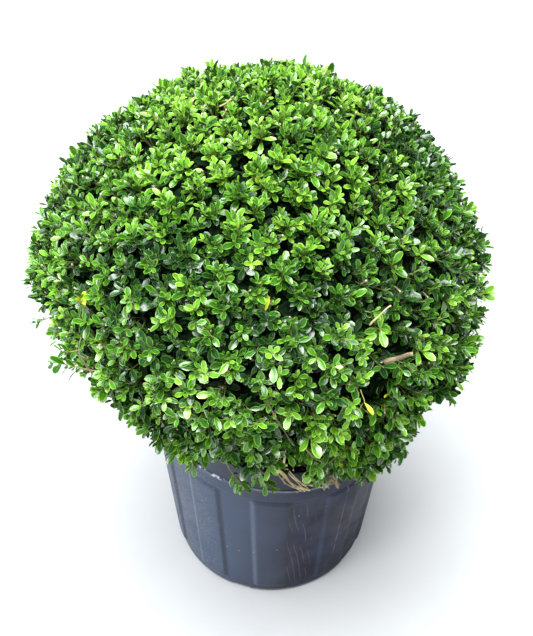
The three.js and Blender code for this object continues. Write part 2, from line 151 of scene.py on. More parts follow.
def bezier(controls: Array, shares: Array) -> tuple[Array, Array]:
    """Points and directions on cubic curves.

    A point is the sum of the four controls weighted by (1-t)^3, 3(1-t)^2 t, 3(1-t) t^2 and t^3.

    Args:
        controls: Four controls for each curve, shaped (curves, 4, 3).
        shares: Places along each curve from 0 to 1, shaped (curves, places).

    Returns:
        Points and unit directions, each shaped (curves, places, 3).
    """
    t = shares[..., None]
    s = 1.0 - t
    a, b, c, d = (controls[:, None, i] for i in range(4))
    points = s**3 * a + 3.0 * s * s * t * b + 3.0 * s * t * t * c + t**3 * d
    ways = s * s * (b - a) + 2.0 * s * t * (c - b) + t * t * (d - c)
    return points, unit(ways)


@dataclass
class Skin:
    """One mesh as arrays: points, the point numbers of its faces in a row, and values that points carry."""

    points: Array
    corners: Array
    sides: Array
    values: dict[str, Array] = field(default_factory=dict)

    @staticmethod
    def joined(skins: Sequence[Skin]) -> Skin:
        """Several skins as one."""
        starts = np.cumsum([0] + [len(skin.points) for skin in skins[:-1]])
        return Skin(
            np.concatenate([skin.points for skin in skins]),
            np.concatenate([skin.corners + start for skin, start in zip(skins, starts)]),
            np.concatenate([skin.sides for skin in skins]),
            {key: np.concatenate([skin.values[key] for skin in skins]) for key in skins[0].values},
        )

    def triangles(self) -> int:
        """How many triangles its faces make."""
        return int((self.sides - 2).sum())

    def mesh(self, name: str) -> bpy.types.Mesh:
        """The skin as a smooth Blender mesh."""
        mesh = bpy.data.meshes.new(name)
        mesh.vertices.add(len(self.points))
        mesh.vertices.foreach_set("co", self.points.astype(np.float32).ravel())
        mesh.loops.add(len(self.corners))
        mesh.loops.foreach_set("vertex_index", self.corners.astype(np.int32))
        mesh.polygons.add(len(self.sides))
        starts = np.concatenate([[0], np.cumsum(self.sides)[:-1]])
        mesh.polygons.foreach_set("loop_start", starts.astype(np.int32))
        mesh.polygons.foreach_set("use_smooth", np.ones(len(self.sides), dtype=bool))
        mesh.update(calc_edges=True)
        for key, value in self.values.items():
            mesh.attributes.new(key, "FLOAT", "POINT").data.foreach_set("value", value.astype(np.float32))
        mesh.validate()
        return mesh


def ring_skin(rings: Array, values: dict[str, Array] | None = None) -> Skin:
    """Closed skin over rings: four neighbours make a face, and a fan to its middle closes each end ring.

    Args:
        rings: Points shaped (rings, around, 3), each ring anticlockwise seen from the far end.
        values: Values for the rings' points, shaped (rings, around).

    Returns:
        The skin, whose values at the two middles are those of the end rings' first points.
    """
    count, around, _ = rings.shape
    index = np.arange(count * around).reshape(count, around)
    ahead = np.roll(index, -1, axis=1)
    walls = np.stack([index[:-1], ahead[:-1], ahead[1:], index[1:]], axis=-1).reshape(-1, 4)
    middles = count * around + np.arange(2)
    start = np.stack([ahead[0], index[0], np.full(around, middles[0])], axis=-1)
    end = np.stack([index[-1], ahead[-1], np.full(around, middles[1])], axis=-1)
    points = np.concatenate([rings.reshape(-1, 3), rings[[0, -1]].mean(axis=1)])
    corners = np.concatenate([walls.ravel(), start.ravel(), end.ravel()])
    sides = np.concatenate([np.full(len(walls), 4), np.full(2 * around, 3)])
    carried = {key: np.append(v.ravel(), v[[0, -1], 0]) for key, v in (values or {}).items()}
    return Skin(points, corners, sides, carried)


def tubes(paths: Array, radii: Array, sides: int) -> Skin:
    """Round limbs along many paths at once, closed by a flat face at each end.

    A ring's point is the path's point plus the radius times (cos turn * side + sin turn * across), where side
    and across are square to the path. The points carry how far along their limb they are.

    Args:
        paths: Points shaped (limbs, steps, 3).
        radii: Radii shaped (limbs, steps).
        sides: Points round each ring.

    Returns:
        One skin with all the limbs.
    """
    limbs, steps, _ = paths.shape
    ways = unit(np.gradient(paths, axis=1))
    chord = unit(paths[:, -1] - paths[:, 0])
    helper = np.where(np.abs(chord[:, 2:]) < 0.8, UP, EAST)
    side = unit(np.cross(chord, helper))[:, None, :]
    side = unit(side - (side * ways).sum(-1, keepdims=True) * ways)
    across = np.cross(ways, side)
    turns = TURN * np.arange(sides) / sides
    spokes = side[:, :, None] * np.cos(turns)[:, None] + across[:, :, None] * np.sin(turns)[:, None]
    points = paths[:, :, None] + radii[:, :, None, None] * spokes
    index = np.arange(limbs * steps * sides).reshape(limbs, steps, sides)
    ahead = np.roll(index, -1, axis=2)
    walls = np.stack([index[:, :-1], ahead[:, :-1], ahead[:, 1:], index[:, 1:]], axis=-1).reshape(-1, 4)
    ends = np.concatenate([index[:, 0, ::-1], index[:, -1]])
    along = np.broadcast_to(np.linspace(0.0, 1.0, steps)[None, :, None], index.shape)
    return Skin(
        points.reshape(-1, 3),
        np.concatenate([walls.ravel(), ends.ravel()]),
        np.concatenate([np.full(len(walls), 4), np.full(len(ends), sides)]),
        {"along": along.reshape(-1)},
    )


def placed(name: str, data: bpy.types.ID) -> bpy.types.Object:
    """A new object in the scene, with its data."""
    made = bpy.data.objects.new(name, data)
    bpy.context.scene.collection.objects.link(made)
    return made


def set_piece(
    name: str, skin: Skin, material: Material, nodes: Sequence[str]
) -> bpy.types.Object:
    """Puts a finished piece into the scene, on the plant's body.

    Args:
        name: The piece's name.
        skin: Its mesh as arrays.
        material: Its finish.
        nodes: The CAD nodes that it stands for.

    Returns:
        The new object.
    """
    mesh = skin.mesh(name)
    mesh.materials.append(material)
    piece = placed(name, mesh)
    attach(piece, ROOT)
    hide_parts(*nodes)
    LOG.info("%s: %d triangles for %d solids", name, skin.triangles(), len(nodes))
    return piece


class Net:
    """A net of shader nodes being drawn up: adds nodes, sets their sockets and joins them."""

    def __init__(self, tree: bpy.types.NodeTree) -> None:
        """Takes the tree to draw in."""
        self.tree = tree

    def node(self, kind: str, inputs: Inputs | None = None, **settings: object) -> bpy.types.Node:
        """Adds a node.

        Args:
            kind: The node's type name.
            inputs: Values or sockets for its inputs, by name or number.
            settings: The node's own properties.

        Returns:
            The new node.
        """
        made = self.tree.nodes.new(kind)
        for key, value in settings.items():
            setattr(made, key, value)
        self.fill(made, inputs or {})
        return made

    def fill(self, node: bpy.types.Node, inputs: Inputs) -> None:
        """Joins some inputs of a node to sockets, or sets their values.

        Args:
            node: The node.
            inputs: Values or sockets for its inputs, by name or number.
        """
        for key, value in inputs.items():
            socket = node.inputs[key]
            if isinstance(value, Socket):
                self.tree.links.new(value, socket)
            elif socket.type == "RGBA":
                socket.default_value = (*value, 1.0)
            else:
                socket.default_value = value

    def math(self, operation: str, first: Wire, second: Wire = 0.0) -> Socket:
        """What an operation makes of two values."""
        return self.node("ShaderNodeMath", {0: first, 1: second}, operation=operation).outputs[0]

    def times(self, first: Wire, second: Wire) -> Socket:
        """The product of two values."""
        return self.math("MULTIPLY", first, second)

    def plus(self, first: Wire, second: Wire) -> Socket:
        """The sum of two values."""
        return self.math("ADD", first, second)

    def mix(self, share: Wire, low: Wire, high: Wire, way: str = "MIX") -> Socket:
        """Two colours mixed by a share."""
        inputs = {0: share, 6: low, 7: high}
        return self.node("ShaderNodeMix", inputs, data_type="RGBA", blend_type=way).outputs[2]

    def place(self) -> Socket:
        """Object coordinates."""
        return self.node("ShaderNodeTexCoord").outputs["Object"]

    def stretched(self, vector: Wire, scale: Triple) -> Socket:
        """Coordinates scaled by their own amount along each axis."""
        return self.node("ShaderNodeMapping", {"Vector": vector, "Scale": scale}).outputs[0]

    def noise(self, vector: Wire, scale: Wire, detail: float = 3.0) -> Socket:
        """Soft noise from 0 to 1."""
        inputs = {"Vector": vector, "Scale": scale, "Detail": detail}
        return self.node("ShaderNodeTexNoise", inputs).outputs[0]

    def attribute(self, name: str) -> Socket:
        """A value that the mesh's points carry."""
        return self.node("ShaderNodeAttribute", attribute_name=name).outputs["Fac"]

    def bump(self, height: Wire, strength: float, distance: float) -> Socket:
        """A normal roughened by a height."""
        inputs = {"Height": height, "Strength": strength, "Distance": distance}
        return self.node("ShaderNodeBump", inputs).outputs[0]

    def group(self, tree: bpy.types.NodeTree, inputs: Inputs) -> Outputs:
        """Outputs of a shared effect placed in this tree with its own values."""
        return self.node("ShaderNodeGroup", inputs, node_tree=tree).outputs


@dataclass(frozen=True)
class Fade:
    """A mask that goes from one weight to another in an even S, between two values of what it reads."""

    start: float
    end: float
    low: float = 0.0
    high: float = 1.0

    def over(self, net: Net, value: Wire) -> Socket:
        """The mask over a value."""
        inputs = {0: value, 1: self.start, 2: self.end, 3: self.low, 4: self.high}
        return net.node("ShaderNodeMapRange", inputs, interpolation_type="SMOOTHSTEP").outputs[0]


@dataclass(frozen=True)
class Stretch:
    """A mask that is full between two values and fades out over a soft edge outside them."""

    low: float
    high: float
    soft: float

    def over(self, net: Net, value: Wire) -> Socket:
        """The mask over a value."""
        rise = Fade(self.low - self.soft, self.low).over(net, value)
        return net.times(rise, Fade(self.high, self.high + self.soft, 1.0, 0.0).over(net, value))


@dataclass(frozen=True)
class Grain:
    """A noise cut to a mask: how fine it is, the fade that cuts it, and its detail."""

    scale: float
    cut: Fade
    detail: float = 3.0

    def over(self, net: Net, place: Wire) -> Socket:
        """The mask over a place."""
        return self.cut.over(net, net.noise(place, self.scale, self.detail))


class SocketKind(Enum):
    """What the sockets of a shared effect carry."""

    COLOUR = "NodeSocketColor"
    VALUE = "NodeSocketFloat"
    VECTOR = "NodeSocketVector"


class SharedEffect:
    """A node group that several finishes use, drawn once."""

    name = "effect"
    inputs: dict[str, SocketKind] = {}
    outputs: dict[str, SocketKind] = {}

    @classmethod
    def tree(cls) -> bpy.types.NodeTree:
        """The group's tree, made when it is first asked for."""
        made = bpy.data.node_groups.get(cls.name)
        if made:
            return made
        made = bpy.data.node_groups.new(cls.name, "ShaderNodeTree")
        for way, sockets in (("INPUT", cls.inputs), ("OUTPUT", cls.outputs)):
            for key, kind in sockets.items():
                made.interface.new_socket(name=key, in_out=way, socket_type=kind.value)
        net = Net(made)
        given = net.node("NodeGroupInput").outputs
        net.node("NodeGroupOutput", cls.draw(net, given))
        return made

    @classmethod
    def draw(cls, net: Net, given: Outputs) -> dict[str, Socket]:
        """Draws the effect from the group's inputs, with a socket for each output."""
        raise NotImplementedError


class LeafMarkings(SharedEffect):
    """A leaf's midrib, paler margin that is partly a painted edge highlight, and yellower foot, with a faint
    mottle, from the blade's own values.
    """

    name = "leaf_markings"
    inputs = {key: SocketKind.COLOUR for key in ("Blade", "Margin", "Rib")}
    outputs = {"Colour": SocketKind.COLOUR, "Roughness": SocketKind.VALUE, "Height": SocketKind.VALUE}
    mottle_scale = 160.0
    mottle_detail = 2.0
    mottle_shade = Fade(0.3, 0.7, 0.78, 1.18)
    mottle_roughness = Fade(0.3, 0.7, 0.17, 0.28)
    mottle_height = 0.3
    margin = Fade(0.58, 0.86, 0.0, 0.95)
    rib = Fade(0.03, 0.2, 0.3, 0.0)
    foot = Fade(0.02, 0.3, 0.6, 0.0)
    groove = Fade(0.0, 0.2, 0.0, 0.7)

    @classmethod
    def draw(cls, net: Net, given: Outputs) -> dict[str, Socket]:
        """Mixes the rib where the value across the blade is low, and the margin where it is high."""
        across = net.attribute("across")
        mottle = net.noise(net.place(), cls.mottle_scale, cls.mottle_detail)
        colour = net.mix(1.0, given["Blade"], cls.mottle_shade.over(net, mottle), "MULTIPLY")
        # The paler margin is partly a painted highlight along the leaf's edge.
        colour = net.mix(cls.margin.over(net, across), colour, given["Margin"])
        colour = net.mix(cls.rib.over(net, across), colour, given["Rib"])
        colour = net.mix(cls.foot.over(net, net.attribute("along")), colour, given["Rib"])
        height = net.plus(cls.groove.over(net, across), net.times(mottle, cls.mottle_height))
        return {"Colour": colour, "Roughness": cls.mottle_roughness.over(net, mottle), "Height": height}


class Patina(SharedEffect):
    """Two colours that run into each other in uneven patches."""

    name = "patina"
    inputs = {
        "Vector": SocketKind.VECTOR,
        "Scale": SocketKind.VALUE,
        "Low": SocketKind.COLOUR,
        "High": SocketKind.COLOUR,
    }
    outputs = {"Colour": SocketKind.COLOUR, "Value": SocketKind.VALUE}
    broad_detail = 4.0
    broad_weight = 0.65
    fineness = 6.0
    fine_weight = 0.35
    cut = Fade(0.32, 0.68)

    @classmethod
    def draw(cls, net: Net, given: Outputs) -> dict[str, Socket]:
        """Mixes the colours by noise, with a finer noise laid over it."""
        broad = net.noise(given["Vector"], given["Scale"], cls.broad_detail)
        fine = net.noise(given["Vector"], net.times(given["Scale"], cls.fineness))
        both = net.plus(net.times(broad, cls.broad_weight), net.times(fine, cls.fine_weight))
        value = cls.cut.over(net, both)
        return {"Colour": net.mix(value, given["Low"], given["High"]), "Value": value}


class Specks(SharedEffect):
    """Small scattered spots, such as dust or grit."""

    name = "specks"
    inputs = {"Vector": SocketKind.VECTOR, "Scale": SocketKind.VALUE, "Share": SocketKind.VALUE}
    outputs = {"Mask": SocketKind.VALUE}
    dot = Fade(0.16, 0.3, 1.0, 0.0)

    @classmethod
    def draw(cls, net: Net, given: Outputs) -> dict[str, Socket]:
        """Keeps a share of the cells of a cell pattern, and marks the middle of each."""
        pattern = {"Vector": given["Vector"], "Scale": given["Scale"]}
        cells = net.node("ShaderNodeTexVoronoi", pattern).outputs
        red = net.node("ShaderNodeSeparateColor", {0: cells["Color"]}).outputs[0]
        kept = net.math("LESS_THAN", red, given["Share"])
        return {"Mask": net.times(cls.dot.over(net, cells["Distance"]), kept)}


def blank_material(name: str) -> tuple[Material, Net, bpy.types.Node]:
    """A new material with its tree and its Principled shader."""
    material = bpy.data.materials.new(name)
    material.use_nodes = True
    net = Net(material.node_tree)
    return material, net, material.node_tree.nodes["Principled BSDF"]


@dataclass(frozen=True)
class LeafFinish:
    """One tone of leaf: its upper face, paler margin (partly a painted edge highlight) and rib, dull
    underside (partly painted light through the blade), and how it shines.
    """

    blade: Colour
    margin: Colour
    rib: Colour
    under: Colour
    gloss: float = 0.36
    wax: float = 1.0
    wax_roughness: float = 0.22
    patch_scale: float = 75.0
    patch_cut: Pair = (0.4, 0.58)
    relief: Pair = (0.35, 0.0006)

    def material(self, name: str) -> Material:
        """The leaf's glossy material with a patchy coat of wax, duller and paler on its back, the paler back
        partly painted light shining through the blade.

        Args:
            name: The material's name.

        Returns:
            The new material.
        """
        material, net, shader = blank_material(name)
        inputs = {"Blade": self.blade, "Margin": self.margin, "Rib": self.rib}
        marks = net.group(LeafMarkings.tree(), inputs)
        back = net.node("ShaderNodeNewGeometry").outputs["Backfacing"]
        waxed = Grain(self.patch_scale, Fade(*self.patch_cut, 0.0, self.wax), 1.0)
        dress = {
            # The paler back colour is partly painted light that shines through the blade.
            "Base Color": net.mix(back, marks["Colour"], self.under),
            "Roughness": marks["Roughness"],
            "Normal": net.bump(marks["Height"], *self.relief),
            "Coat Weight": waxed.over(net, net.place()),
            "Coat Roughness": self.wax_roughness,
            "Specular IOR Level": self.gloss,
        }
        net.fill(shader, dress)
        return material


class LeafTone(Enum):
    """The tones that are dealt out to the leaves, from the oldest, painted near-black as the crown's inner
    shade, to the yellowed and the dry.
    """

    # SHADE is painted shade: old leaves made near-black to stand for the dark inside of the crown.
    SHADE = LeafFinish(
        (0.007, 0.02, 0.008), (0.012, 0.03, 0.01), (0.018, 0.036, 0.01), (0.01, 0.025, 0.01), 0.03, 0.05
    )
    DEEP = LeafFinish((0.008, 0.042, 0.007), (0.06, 0.165, 0.02), (0.045, 0.135, 0.014), (0.03, 0.085, 0.022))
    MOSS = LeafFinish((0.022, 0.105, 0.007), (0.15, 0.34, 0.03), (0.11, 0.25, 0.012), (0.06, 0.16, 0.03))
    GRASS = LeafFinish((0.048, 0.195, 0.008), (0.25, 0.47, 0.065), (0.2, 0.38, 0.015), (0.1, 0.235, 0.04))
    BRIGHT = LeafFinish((0.1, 0.32, 0.011), (0.38, 0.59, 0.1), (0.33, 0.5, 0.02), (0.16, 0.33, 0.055))
    LIME = LeafFinish((0.155, 0.425, 0.016), (0.45, 0.66, 0.14), (0.4, 0.55, 0.03), (0.22, 0.4, 0.07))
    GOLD = LeafFinish((0.37, 0.43, 0.013), (0.5, 0.56, 0.06), (0.48, 0.52, 0.03), (0.36, 0.4, 0.04))
    DRY = LeafFinish((0.34, 0.24, 0.12), (0.46, 0.36, 0.2), (0.42, 0.3, 0.15), (0.3, 0.22, 0.13))

    @property
    def label(self) -> str:
        """The tone's name in small letters."""
        return self.name.lower()

    def material(self) -> Material:
        """A new material of this tone."""
        return self.value.material(f"leaf_{self.label}")


@dataclass(frozen=True)
class WoodFinish:
    """Bark or bare twig: two tones, a third towards the young end, and the grain's size."""

    low: Colour
    high: Colour
    young: Colour
    young_from: float
    scale: float
    depth: float
    grain: Triple = (1.0, 1.0, 0.35)
    roughness: Fade = Fade(0.0, 1.0, 0.62, 0.88)
    strength: float = 0.5

    def material(self, name: str) -> Material:
        """The bark, running into its young tone along each limb.

        Args:
            name: The material's name.

        Returns:
            The new material.
        """
        material, net, shader = blank_material(name)
        place = net.stretched(net.place(), self.grain)
        inputs = {"Vector": place, "Scale": self.scale, "Low": self.low, "High": self.high}
        patina = net.group(Patina.tree(), inputs)
        young = Fade(self.young_from, 1.0).over(net, net.attribute("along"))
        dress = {
            "Base Color": net.mix(young, patina["Colour"], self.young),
            "Roughness": self.roughness.over(net, patina["Value"]),
            "Normal": net.bump(patina["Value"], self.strength, self.depth),
        }
        net.fill(shader, dress)
        return material


class Bark(Enum):
    """The ages of wood on the plant."""

    OLD = WoodFinish((0.13, 0.095, 0.065), (0.3, 0.24, 0.17), (0.28, 0.21, 0.13), 0.7, 60.0, 0.002)
    TWIG = WoodFinish((0.16, 0.11, 0.06), (0.34, 0.26, 0.14), (0.3, 0.27, 0.09), 0.4, 160.0, 0.0006)
    SHOOT = WoodFinish((0.2, 0.2, 0.06), (0.3, 0.26, 0.09), (0.22, 0.28, 0.06), 0.3, 240.0, 0.0003)
    STUB = WoodFinish((0.07, 0.052, 0.03), (0.26, 0.195, 0.112), (0.36, 0.29, 0.175), 0.9, 120.0, 0.0018)
    CLIPPED = WoodFinish((0.12, 0.085, 0.05), (0.28, 0.2, 0.11), (0.6, 0.49, 0.34), 0.75, 200.0, 0.0004)
    CUT = WoodFinish((0.37, 0.27, 0.12), (0.67, 0.54, 0.28), (0.82, 0.72, 0.45), 0.86, 200.0, 0.0005)

    def material(self) -> Material:
        """A new material of this wood."""
        return self.value.material(f"bark_{self.name.lower()}")


@dataclass(frozen=True)
class PotPlace:
    """Where a spot of the pot is: its place, turn from the front and level, and how far aside it faces."""

    place: Socket
    turn: Socket
    level: Socket
    aside: Socket

    @staticmethod
    def read(net: Net) -> PotPlace:
        """The sockets in a tree, where the turn is the angle from the front, -Y, round to the spot."""
        place = net.place()
        x, y, z = net.node("ShaderNodeSeparateXYZ", {0: place}).outputs
        turn = net.math("ARCTAN2", x, net.times(y, -1.0))
        return PotPlace(place, turn, z, net.math("SINE", turn))


@dataclass(frozen=True)
class PotFinish:
    """Satin black plastic, dusty and scuffed, scratched low on its front right, with painted light and shade.
    """

    dark: Colour = (0.024, 0.036, 0.066)
    light: Colour = (0.042, 0.063, 0.109)
    # The next five colours are painted light and shade: a paler left side, a darker brownish right side,
    # paler lit stave edges, shade by the staves and on the rim, and a pale painted highlight with some wear.
    faded: Colour = (0.052, 0.083, 0.147)
    brown: Colour = (0.0085, 0.0058, 0.0202)
    rubbed: Colour = (0.085, 0.115, 0.175)
    grime: Colour = (0.009, 0.012, 0.02)
    wear: Colour = (0.2, 0.225, 0.27)
    scuff: Colour = (0.72, 0.73, 0.76)
    scratch: Colour = (0.12, 0.095, 0.1)
    dust: Colour = (0.5, 0.5, 0.5)
    patch_scale: float = 9.0
    streak_shape: Triple = (1.0, 1.0, 0.06)
    streaks: Grain = Grain(75.0, Fade(0.5, 0.75, 0.0, 0.5))
    fading: Fade = Fade(-0.7, -0.05, 0.6, 0.0)
    browning: Fade = Fade(-0.34, 0.3, 0.0, 0.95)
    blotches: Grain = Grain(13.0, Fade(0.3, 0.65, 0.55, 1.0))
    flute_grime: Fade = Fade(-1.3, 0.0, 0.8, 0.0)
    stave_wear: Fade = Fade(0.0, 1.3)
    wear_side: Fade = Fade(-0.1, 0.4, 0.9, 0.25)
    rim_grime: Fade = Fade(0.2995, 0.306, 0.0, 0.5)
    pebbles: Grain = Grain(330.0, Fade(0.48, 0.62, 0.0, 0.26), 1.0)
    pebbled: Stretch = Stretch(-1.0, -0.66, 0.3)
    rubbing: Grain = Grain(60.0, Fade(0.3, 0.6, 0.25, 1.0))
    seam: Stretch = Stretch(0.624, 0.63, 0.005)
    seam_lean: float = -0.06
    seam_levels: Stretch = Stretch(0.09, 0.262, 0.02)
    seam_wear: float = 0.45
    lip: Stretch = Stretch(0.2988, 0.3006, 0.0006)
    foot: Stretch = Stretch(0.0052, 0.0068, 0.001)
    scratch_pitch: float = 0.055
    scratch_lean: float = 15.0
    scratch_sway: float = 0.9
    sway_scale: float = 22.0
    scratch_width: Fade = Fade(0.02, 0.06, 1.0, 0.0)
    break_rate: float = 9.0
    breaks: Grain = Grain(1.7, Fade(0.42, 0.55), 2.0)
    scratched: Stretch = Stretch(0.17, 0.36, 0.05)
    scratched_levels: Stretch = Stretch(0.045, 0.235, 0.03)
    scuffs: Grain = Grain(170.0, Fade(0.5, 0.56), 1.0)
    scuffed: Stretch = Stretch(-0.86, -0.42, 0.05)
    scuffed_levels: Stretch = Stretch(0.2988, 0.3006, 0.002)
    dust_scale: float = 230.0
    dust_share: float = 0.012
    dust_weight: float = 0.7
    roughness: Fade = Fade(0.0, 1.0, 0.4, 0.58)
    pebble_scale: float = 210.0
    grain_scale: float = 300.0
    grain_detail: float = 2.0
    relief: Pair = (0.35, 0.001)
    sheen: Fade = Fade(-0.05, 0.45, 0.28, 0.0)
    sheen_roughness: float = 0.49
    gloss: float = 0.17

    def weathered(self, net: Net, at: PotPlace, colour: Socket) -> Socket:
        """Plastic that is streaked, paler on the left as painted light, and darker and browner on the right
        as painted shade.

        Args:
            net: The material's tree.
            at: Where a spot is.
            colour: The bare plastic.

        Returns:
            The new colour.
        """
        streaks = self.streaks.over(net, net.stretched(at.place, self.streak_shape))
        colour = net.mix(streaks, colour, self.light)
        # Painted light: the left side, which faces the light, is paler.
        colour = net.mix(self.fading.over(net, at.aside), colour, self.faded)
        # Painted shade: the right side is darker and browner, in blotches.
        right = self.browning.over(net, at.aside)
        return net.mix(net.times(right, self.blotches.over(net, at.place)), colour, self.brown)

    def worn(self, net: Net, at: PotPlace, colour: Socket) -> Socket:
        """Plastic with painted shade and light by the staves, painted shade on the rim, and painted
        highlights with some wear on edges, grain and a line.

        Args:
            net: The material's tree.
            at: Where a spot is.
            colour: The colour under it.

        Returns:
            The new colour.
        """
        slope = net.attribute("slope")
        # Painted shade on the stave sides that face away from the light.
        colour = net.mix(self.flute_grime.over(net, slope), colour, self.grime)
        # Painted light on the stave edges that face the light, more on the left side.
        raised = net.times(self.stave_wear.over(net, slope), self.wear_side.over(net, at.aside))
        colour = net.mix(raised, colour, self.rubbed)
        # Painted shade on the rim above the lip, under the crown.
        colour = net.mix(self.rim_grime.over(net, at.level), colour, self.grime)
        # Painted highlights on the pebbled grain of the left side, with some wear.
        pebbles = net.times(self.pebbles.over(net, at.place), self.pebbled.over(net, at.turn))
        colour = net.mix(pebbles, colour, self.wear)
        # Uneven rubbing that breaks up the painted highlights and wear below.
        rubbed = self.rubbing.over(net, at.place)
        # A pale leaning line on the front right: a painted highlight, broken by the rubbing.
        leaning = net.plus(at.turn, net.times(at.level, self.seam_lean))
        seam = net.times(self.seam.over(net, leaning), self.seam_levels.over(net, at.level))
        colour = net.mix(net.times(seam, net.times(rubbed, self.seam_wear)), colour, self.wear)
        # Painted highlights with some wear along the lip and the foot, broken by the rubbing.
        edges = net.plus(self.lip.over(net, at.level), self.foot.over(net, at.level))
        return net.mix(net.times(edges, rubbed), colour, self.wear)

    def marked(self, net: Net, at: PotPlace, colour: Socket) -> Socket:
        """Plastic with broken leaning scratches, white scuffs on the lip, and dust.

        A scratch lies wherever the turn over the pitch, swayed by noise and by the level, is halfway between
        two whole numbers.

        Args:
            net: The material's tree.
            at: Where a spot is.
            colour: The colour under it.

        Returns:
            The new colour.
        """
        sway = net.times(net.noise(at.place, self.sway_scale), self.scratch_sway)
        lines = net.plus(net.math("DIVIDE", at.turn, self.scratch_pitch), sway)
        lines = net.plus(lines, net.times(at.level, self.scratch_lean))
        off = net.math("ABSOLUTE", net.math("SUBTRACT", net.math("FRACT", lines), 0.5))
        along = {0: net.math("FLOOR", lines), 1: net.times(at.level, self.break_rate)}
        broken = self.breaks.over(net, net.node("ShaderNodeCombineXYZ", along).outputs[0])
        thin = net.times(self.scratch_width.over(net, off), broken)
        low = self.scratched_levels.over(net, at.level)
        spot = net.times(self.scratched.over(net, at.turn), low)
        colour = net.mix(net.times(thin, spot), colour, self.scratch)
        lip = self.scuffed_levels.over(net, at.level)
        chipped = net.times(self.scuffed.over(net, at.turn), lip)
        colour = net.mix(net.times(chipped, self.scuffs.over(net, at.place)), colour, self.scuff)
        specks = {"Vector": at.place, "Scale": self.dust_scale, "Share": self.dust_share}
        dust = net.group(Specks.tree(), specks)["Mask"]
        return net.mix(net.times(dust, self.dust_weight), colour, self.dust)

    def material(self) -> Material:
        """The plastic: broad patches, then streaks, painted light, shade and highlights with some wear, and
        marks, with a fine grain.
        """
        material, net, shader = blank_material("pot_plastic")
        at = PotPlace.read(net)
        inputs = {"Vector": at.place, "Scale": self.patch_scale, "Low": self.dark, "High": self.light}
        patches = net.group(Patina.tree(), inputs)
        colour = patches["Colour"]
        for layer in (self.weathered, self.worn, self.marked):
            colour = layer(net, at, colour)
        coarse = net.noise(at.place, self.pebble_scale, 1.0)
        pebbled = net.times(coarse, self.pebbled.over(net, at.turn))
        grain = net.plus(net.noise(at.place, self.grain_scale, self.grain_detail), pebbled)
        dress = {
            "Base Color": colour,
            "Roughness": self.roughness.over(net, patches["Value"]),
            "Normal": net.bump(grain, *self.relief),
            "Coat Weight": self.sheen.over(net, at.aside),
            "Coat Roughness": self.sheen_roughness,
            "Specular IOR Level": self.gloss,
        }
        net.fill(shader, dress)
        return material


@dataclass(frozen=True)
class MixFinish:
    """Moist bark-based potting mix with pale grit."""

    low: Colour = (0.016, 0.011, 0.008)
    high: Colour = (0.075, 0.05, 0.033)
    grit: Colour = (0.42, 0.39, 0.34)
    crumb_scale: float = 85.0
    grit_scale: float = 150.0
    grit_share: float = 0.06
    roughness: Fade = Fade(0.0, 1.0, 0.8, 0.97)
    relief: Pair = (0.8, 0.003)

    def material(self) -> Material:
        """Dark crumbs with a few pale specks."""
        material, net, shader = blank_material("potting_mix")
        place = net.place()
        inputs = {"Vector": place, "Scale": self.crumb_scale, "Low": self.low, "High": self.high}
        patina = net.group(Patina.tree(), inputs)
        specks = {"Vector": place, "Scale": self.grit_scale, "Share": self.grit_share}
        grit = net.group(Specks.tree(), specks)["Mask"]
        dress = {
            "Base Color": net.mix(grit, patina["Colour"], self.grit),
            "Roughness": self.roughness.over(net, patina["Value"]),
            "Normal": net.bump(patina["Value"], *self.relief),
        }
        net.fill(shader, dress)
        return material


@dataclass(frozen=True)
class FloorFinish:
    """A plain pale studio floor."""

    low: Colour = (0.44, 0.44, 0.44)
    high: Colour = (0.46, 0.46, 0.46)
    scale: float = 3.0
    roughness: float = 0.9

    def material(self) -> Material:
        """Matt paint with a hardly visible unevenness."""
        material, net, shader = blank_material("floor")
        inputs = {"Vector": net.place(), "Scale": self.scale, "Low": self.low, "High": self.high}
        patina = net.group(Patina.tree(), inputs)
        net.fill(shader, {"Base Color": patina["Colour"], "Roughness": self.roughness})
        return material


